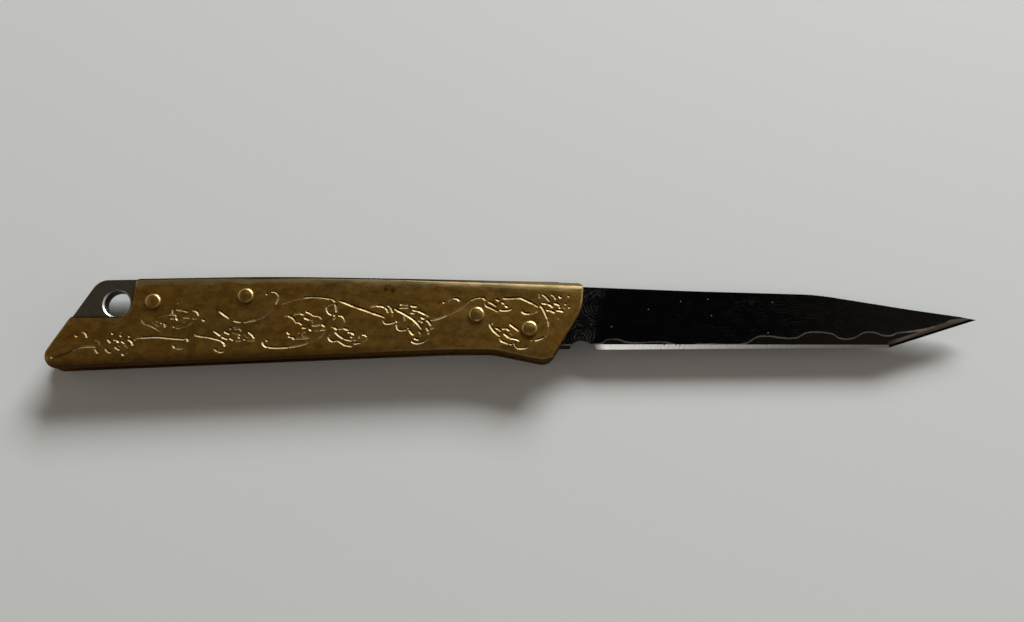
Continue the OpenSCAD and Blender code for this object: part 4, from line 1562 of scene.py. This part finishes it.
@dataclass
class Rivets:
    """The four peened pins and their domed collars on both scales, in millimetres."""

    collar_finish: bpy.types.Material
    pin_finish: bpy.types.Material
    collar_r: float = 1.74
    pin_r: float = 0.9
    crown_h: float = 0.64
    head_h: float = 0.72
    steps: int = 56
    merge_gap: float = 0.0001
    smooth_angle: float = 32.0
    dome: tuple[float, ...] = (0.0, 0.25, 0.5, 0.75, 1.0)
    rim: tuple[Point, ...] = (
        (1.08, 0.624), (1.24, 0.592), (1.38, 0.540), (1.50, 0.468), (1.60, 0.378), (1.67, 0.275),
        (1.715, 0.160))
    names: tuple[str, ...] = ("pivot", "stop", "middle", "tail")

    def turned(self, name: str, profile: list[Point], closed: bool) -> bpy.types.Object:
        """Turns a profile about Z.

        Args:
            name: The piece's name.
            profile: Radius and height of each corner.
            closed: Whether the last corner joins the first.

        Returns:
            The turned piece, at the origin.
        """
        mesh = bpy.data.meshes.new(name)
        count = len(profile)
        joints = [(i, (i + 1) % count) for i in range(count if closed else count - 1)]
        mesh.from_pydata([(r * MM, 0.0, z * MM) for r, z in profile], joints, [])
        piece = add(name, mesh)
        modify(piece, "SCREW", steps=self.steps, render_steps=self.steps, use_merge_vertices=True,
               merge_threshold=self.merge_gap * MM)
        tidy_mesh(piece)
        return piece

    def collar(self) -> bpy.types.Object:
        """Turns one collar with a rounded rim, standing on z = 0."""
        inside = [(self.pin_r, 0.0), (self.pin_r, self.crown_h)]
        return self.turned("collar", [*inside, *self.rim, (self.collar_r, 0.0)], True)

    def pin(self) -> bpy.types.Object:
        """Turns one pin with a peened, gently domed head at each end.

        Returns:
            The pin's object.
        """
        rise = self.head_h - self.crown_h
        head = [(self.pin_r * r, self.crown_h + rise * (1.0 - r * r)) for r in self.dome]
        upper = [(r, FRONT_FACE + z) for r, z in head]
        lower = [(r, REAR_FACE - z) for r, z in reversed(head)]
        return self.turned("pin", upper + lower, False)

    def place(self, pattern: bpy.types.Object, node: str, level: float, flipped: bool,
              finish: bpy.types.Material, slot: str) -> None:
        """Sets one copy in the middle of its solid.

        Args:
            pattern: The piece that is copied.
            node: The solid that it stands for.
            level: Height of its origin.
            flipped: Whether it stands upside down.
            finish: Its material.
            slot: Not used.
        """
        low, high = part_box(node)
        piece = copied(pattern)
        piece.location = ((low[0] + high[0]) / 2, (low[1] + high[1]) / 2, level * MM)
        piece.rotation_euler = (math.pi if flipped else 0.0, 0.0, 0.0)
        settle(piece, "turned_" + node)
        smooth(piece, self.smooth_angle)
        dress(piece, finish)
        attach(piece, "handle")
        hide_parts(node)

    def build(self) -> None:
        """Copies the collar and the pin to each place."""
        collar, pin = self.collar(), self.pin()
        for name in self.names:
            for end, level, flipped in (("front", FRONT_FACE, False), ("rear", REAR_FACE, True)):
                self.place(collar, f"rosette_{name}_{end}", level, flipped,
                           self.collar_finish, "brass_rosette")
            self.place(pin, f"{name}_pin", 0.0, False, self.pin_finish, "brass_pin")
        for pattern in (collar, pin):
            bpy.data.objects.remove(pattern)


# ---------------------------------------------------------------- studio


@dataclass(frozen=True)
class Lamp:
    """A soft rectangular lamp that faces the knife.

    Attributes:
        name: The lamp's name.
        polar: Angle from straight up, in degrees.
        azimuth: Direction on the table from +X, in degrees.
        distance: How far it stands, in metres.
        size: Its width and height in metres.
        power: Its power in watts.
        colour: Its colour.
    """

    name: str
    polar: float
    azimuth: float
    distance: float
    size: Point
    power: float
    colour: Colour = (1.0, 1.0, 1.0)

    def hang(self) -> None:
        """Makes the lamp."""
        data = bpy.data.lights.new(self.name, "AREA")
        data.shape = "RECTANGLE"
        data.size, data.size_y = self.size
        data.energy = self.power
        data.color = self.colour
        tip, around = math.radians(self.polar), math.radians(self.azimuth)
        out = Vector((math.sin(tip) * math.cos(around), math.sin(tip) * math.sin(around), math.cos(tip)))
        lamp = add(self.name, data)
        lamp.location = out * self.distance
        lamp.rotation_euler = out.to_track_quat("Z", "Y").to_euler()


@dataclass(frozen=True)
class TablePaint(Finish):
    """Matt pale paint, very slightly uneven."""

    name: str = "painted_table"
    colour: Colour = (0.62, 0.63, 0.615)
    shade: float = 0.985
    uneven: Mottle = Mottle(scale=1.6)
    tones: Ramp = (0.3, 0.7)
    rough: float = 0.7
    specular: float = 0.2
    relief: Point = (0.06, 0.05)

    def paint(self, graph: Graph) -> None:
        """Lays the finish's nodes.

        Args:
            graph: The material's graph.
        """
        fine = graph.mottle(self.uneven)
        shade = tuple(c * self.shade for c in self.colour)
        graph.close(Base_Color=graph.blend(graph.span(fine, *self.tones), shade, self.colour),
                    Roughness=self.rough, Specular_IOR_Level=self.specular,
                    Normal=graph.bump(fine, *self.relief))


@dataclass(frozen=True)
class Studio:
    """A pale table, a tall soft window lamp from behind, a weak sky lamp and a dim warm room."""

    table_size: float = 8.0
    overhead: Colour = (0.058, 0.047, 0.040)
    walls: Colour = (0.105, 0.085, 0.068)
    front_wall: Colour = (0.040, 0.031, 0.025)
    side_walls: Colour = (0.56, 0.49, 0.43)
    horizon: Colour = (0.46, 0.45, 0.43)
    front_reach: Ramp = (-0.15, -0.45)
    side_reach: Ramp = (0.52, 0.80)
    overhead_reach: Ramp = (0.74, 0.90)
    horizon_reach: Ramp = (0.16, 0.02)
    lamps: tuple[Lamp, ...] = (
        Lamp("window", polar=66.0, azimuth=68.0, distance=1.6, size=(0.95, 0.42), power=42.5,
             colour=(0.97, 1.0, 1.01)),
        Lamp("ceiling_patch", polar=24.0, azimuth=276.0, distance=1.5, size=(0.40, 0.30), power=0.95))

    def table(self) -> None:
        """Makes the table top that the knife lies on."""
        bpy.ops.object.select_all(action="DESELECT")
        bpy.ops.mesh.primitive_plane_add(size=self.table_size)
        floor = bpy.context.object
        floor.name = "table"
        dress(floor, TablePaint().material())

    def air(self) -> None:
        """Sets the dim warm room with a pale rim at eye level."""
        world = bpy.data.worlds.new("room")
        bpy.context.scene.world = world
        world.use_nodes = True
        graph = Graph(world.node_tree)
        way = graph.split(graph.node("TexCoord").outputs["Generated"])
        colour: object = self.walls
        for value, reach, there in ((way.outputs["Y"], self.front_reach, self.front_wall),
                                    (graph.amount(way.outputs["X"]), self.side_reach, self.side_walls),
                                    (way.outputs["Z"], self.overhead_reach, self.overhead),
                                    (way.outputs["Z"], self.horizon_reach, self.horizon)):
            colour = graph.blend(graph.span(value, *reach), colour, there)
        glow = graph.feed(graph.node("Background"), Color=colour, Strength=1.0)
        graph.feed(graph.node("OutputWorld"), Surface=glow.outputs[0])

    def build(self) -> None:
        """Sets the table, the lamps and the room."""
        self.table()
        for lamp in self.lamps:
            lamp.hang()
        self.air()


# ---------------------------------------------------------------- the knife


def main() -> None:
    """Builds the studio and the knife's pieces in order."""
    bpy.context.scene.view_settings.view_transform = "Standard"
    PLANE.camera()
    Studio().build()

    stains = ((385.5, 288.8, 0.50), (392.4, 289.9, 0.62), (385.0, 284.6, 0.36), (388.5, 284.4, 0.36))
    front = BrassFinish("aged_brass_front", stains=stains, edges=BrassEdges()).material()
    rear = BrassFinish("aged_brass_rear", edges=BrassEdges()).material()
    cuts = (CutBrassFinish(),
            CutBrassFinish("old_cut_brass", bright=(0.25, 0.175, 0.078), dull=(0.15, 0.095, 0.035)),
            CutBrassFinish("dirty_cut_brass", bright=(0.055, 0.034, 0.014), dull=(0.03, 0.018, 0.008)))
    EngravedScales(front, rear, tuple(cut.material() for cut in cuts)).build()

    turned = functools.partial(
        BrassFinish, bright=(0.44, 0.29, 0.082), aged=(0.34, 0.20, 0.048), rubbed_sheen=(0.66, 0.50, 0.22),
        side_shade=(0.16, 0.09, 0.028), handled=(-300.0, -200.0, 0.05, 1.0), worn=(0.996, 0.88))
    rosette = turned("rosette_brass", rough=0.30, grain=0.06).material()
    pin = turned("pin_brass", rough=0.31, grain=0.07).material()
    steel, bronze = SteelFinish().material(), BronzeFinish().material()
    pattern = PatternSteelFinish().material()
    Rivets(rosette, pin).build()
    finishes = {"backspring": steel, "stop_sleeve": steel, "pivot_bush": bronze, "washer_front": bronze,
                "washer_rear": bronze, "blade": pattern}
    for name, finish in finishes.items():
        dress(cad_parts[name], finish)


if __name__ == "__main__":
    main()
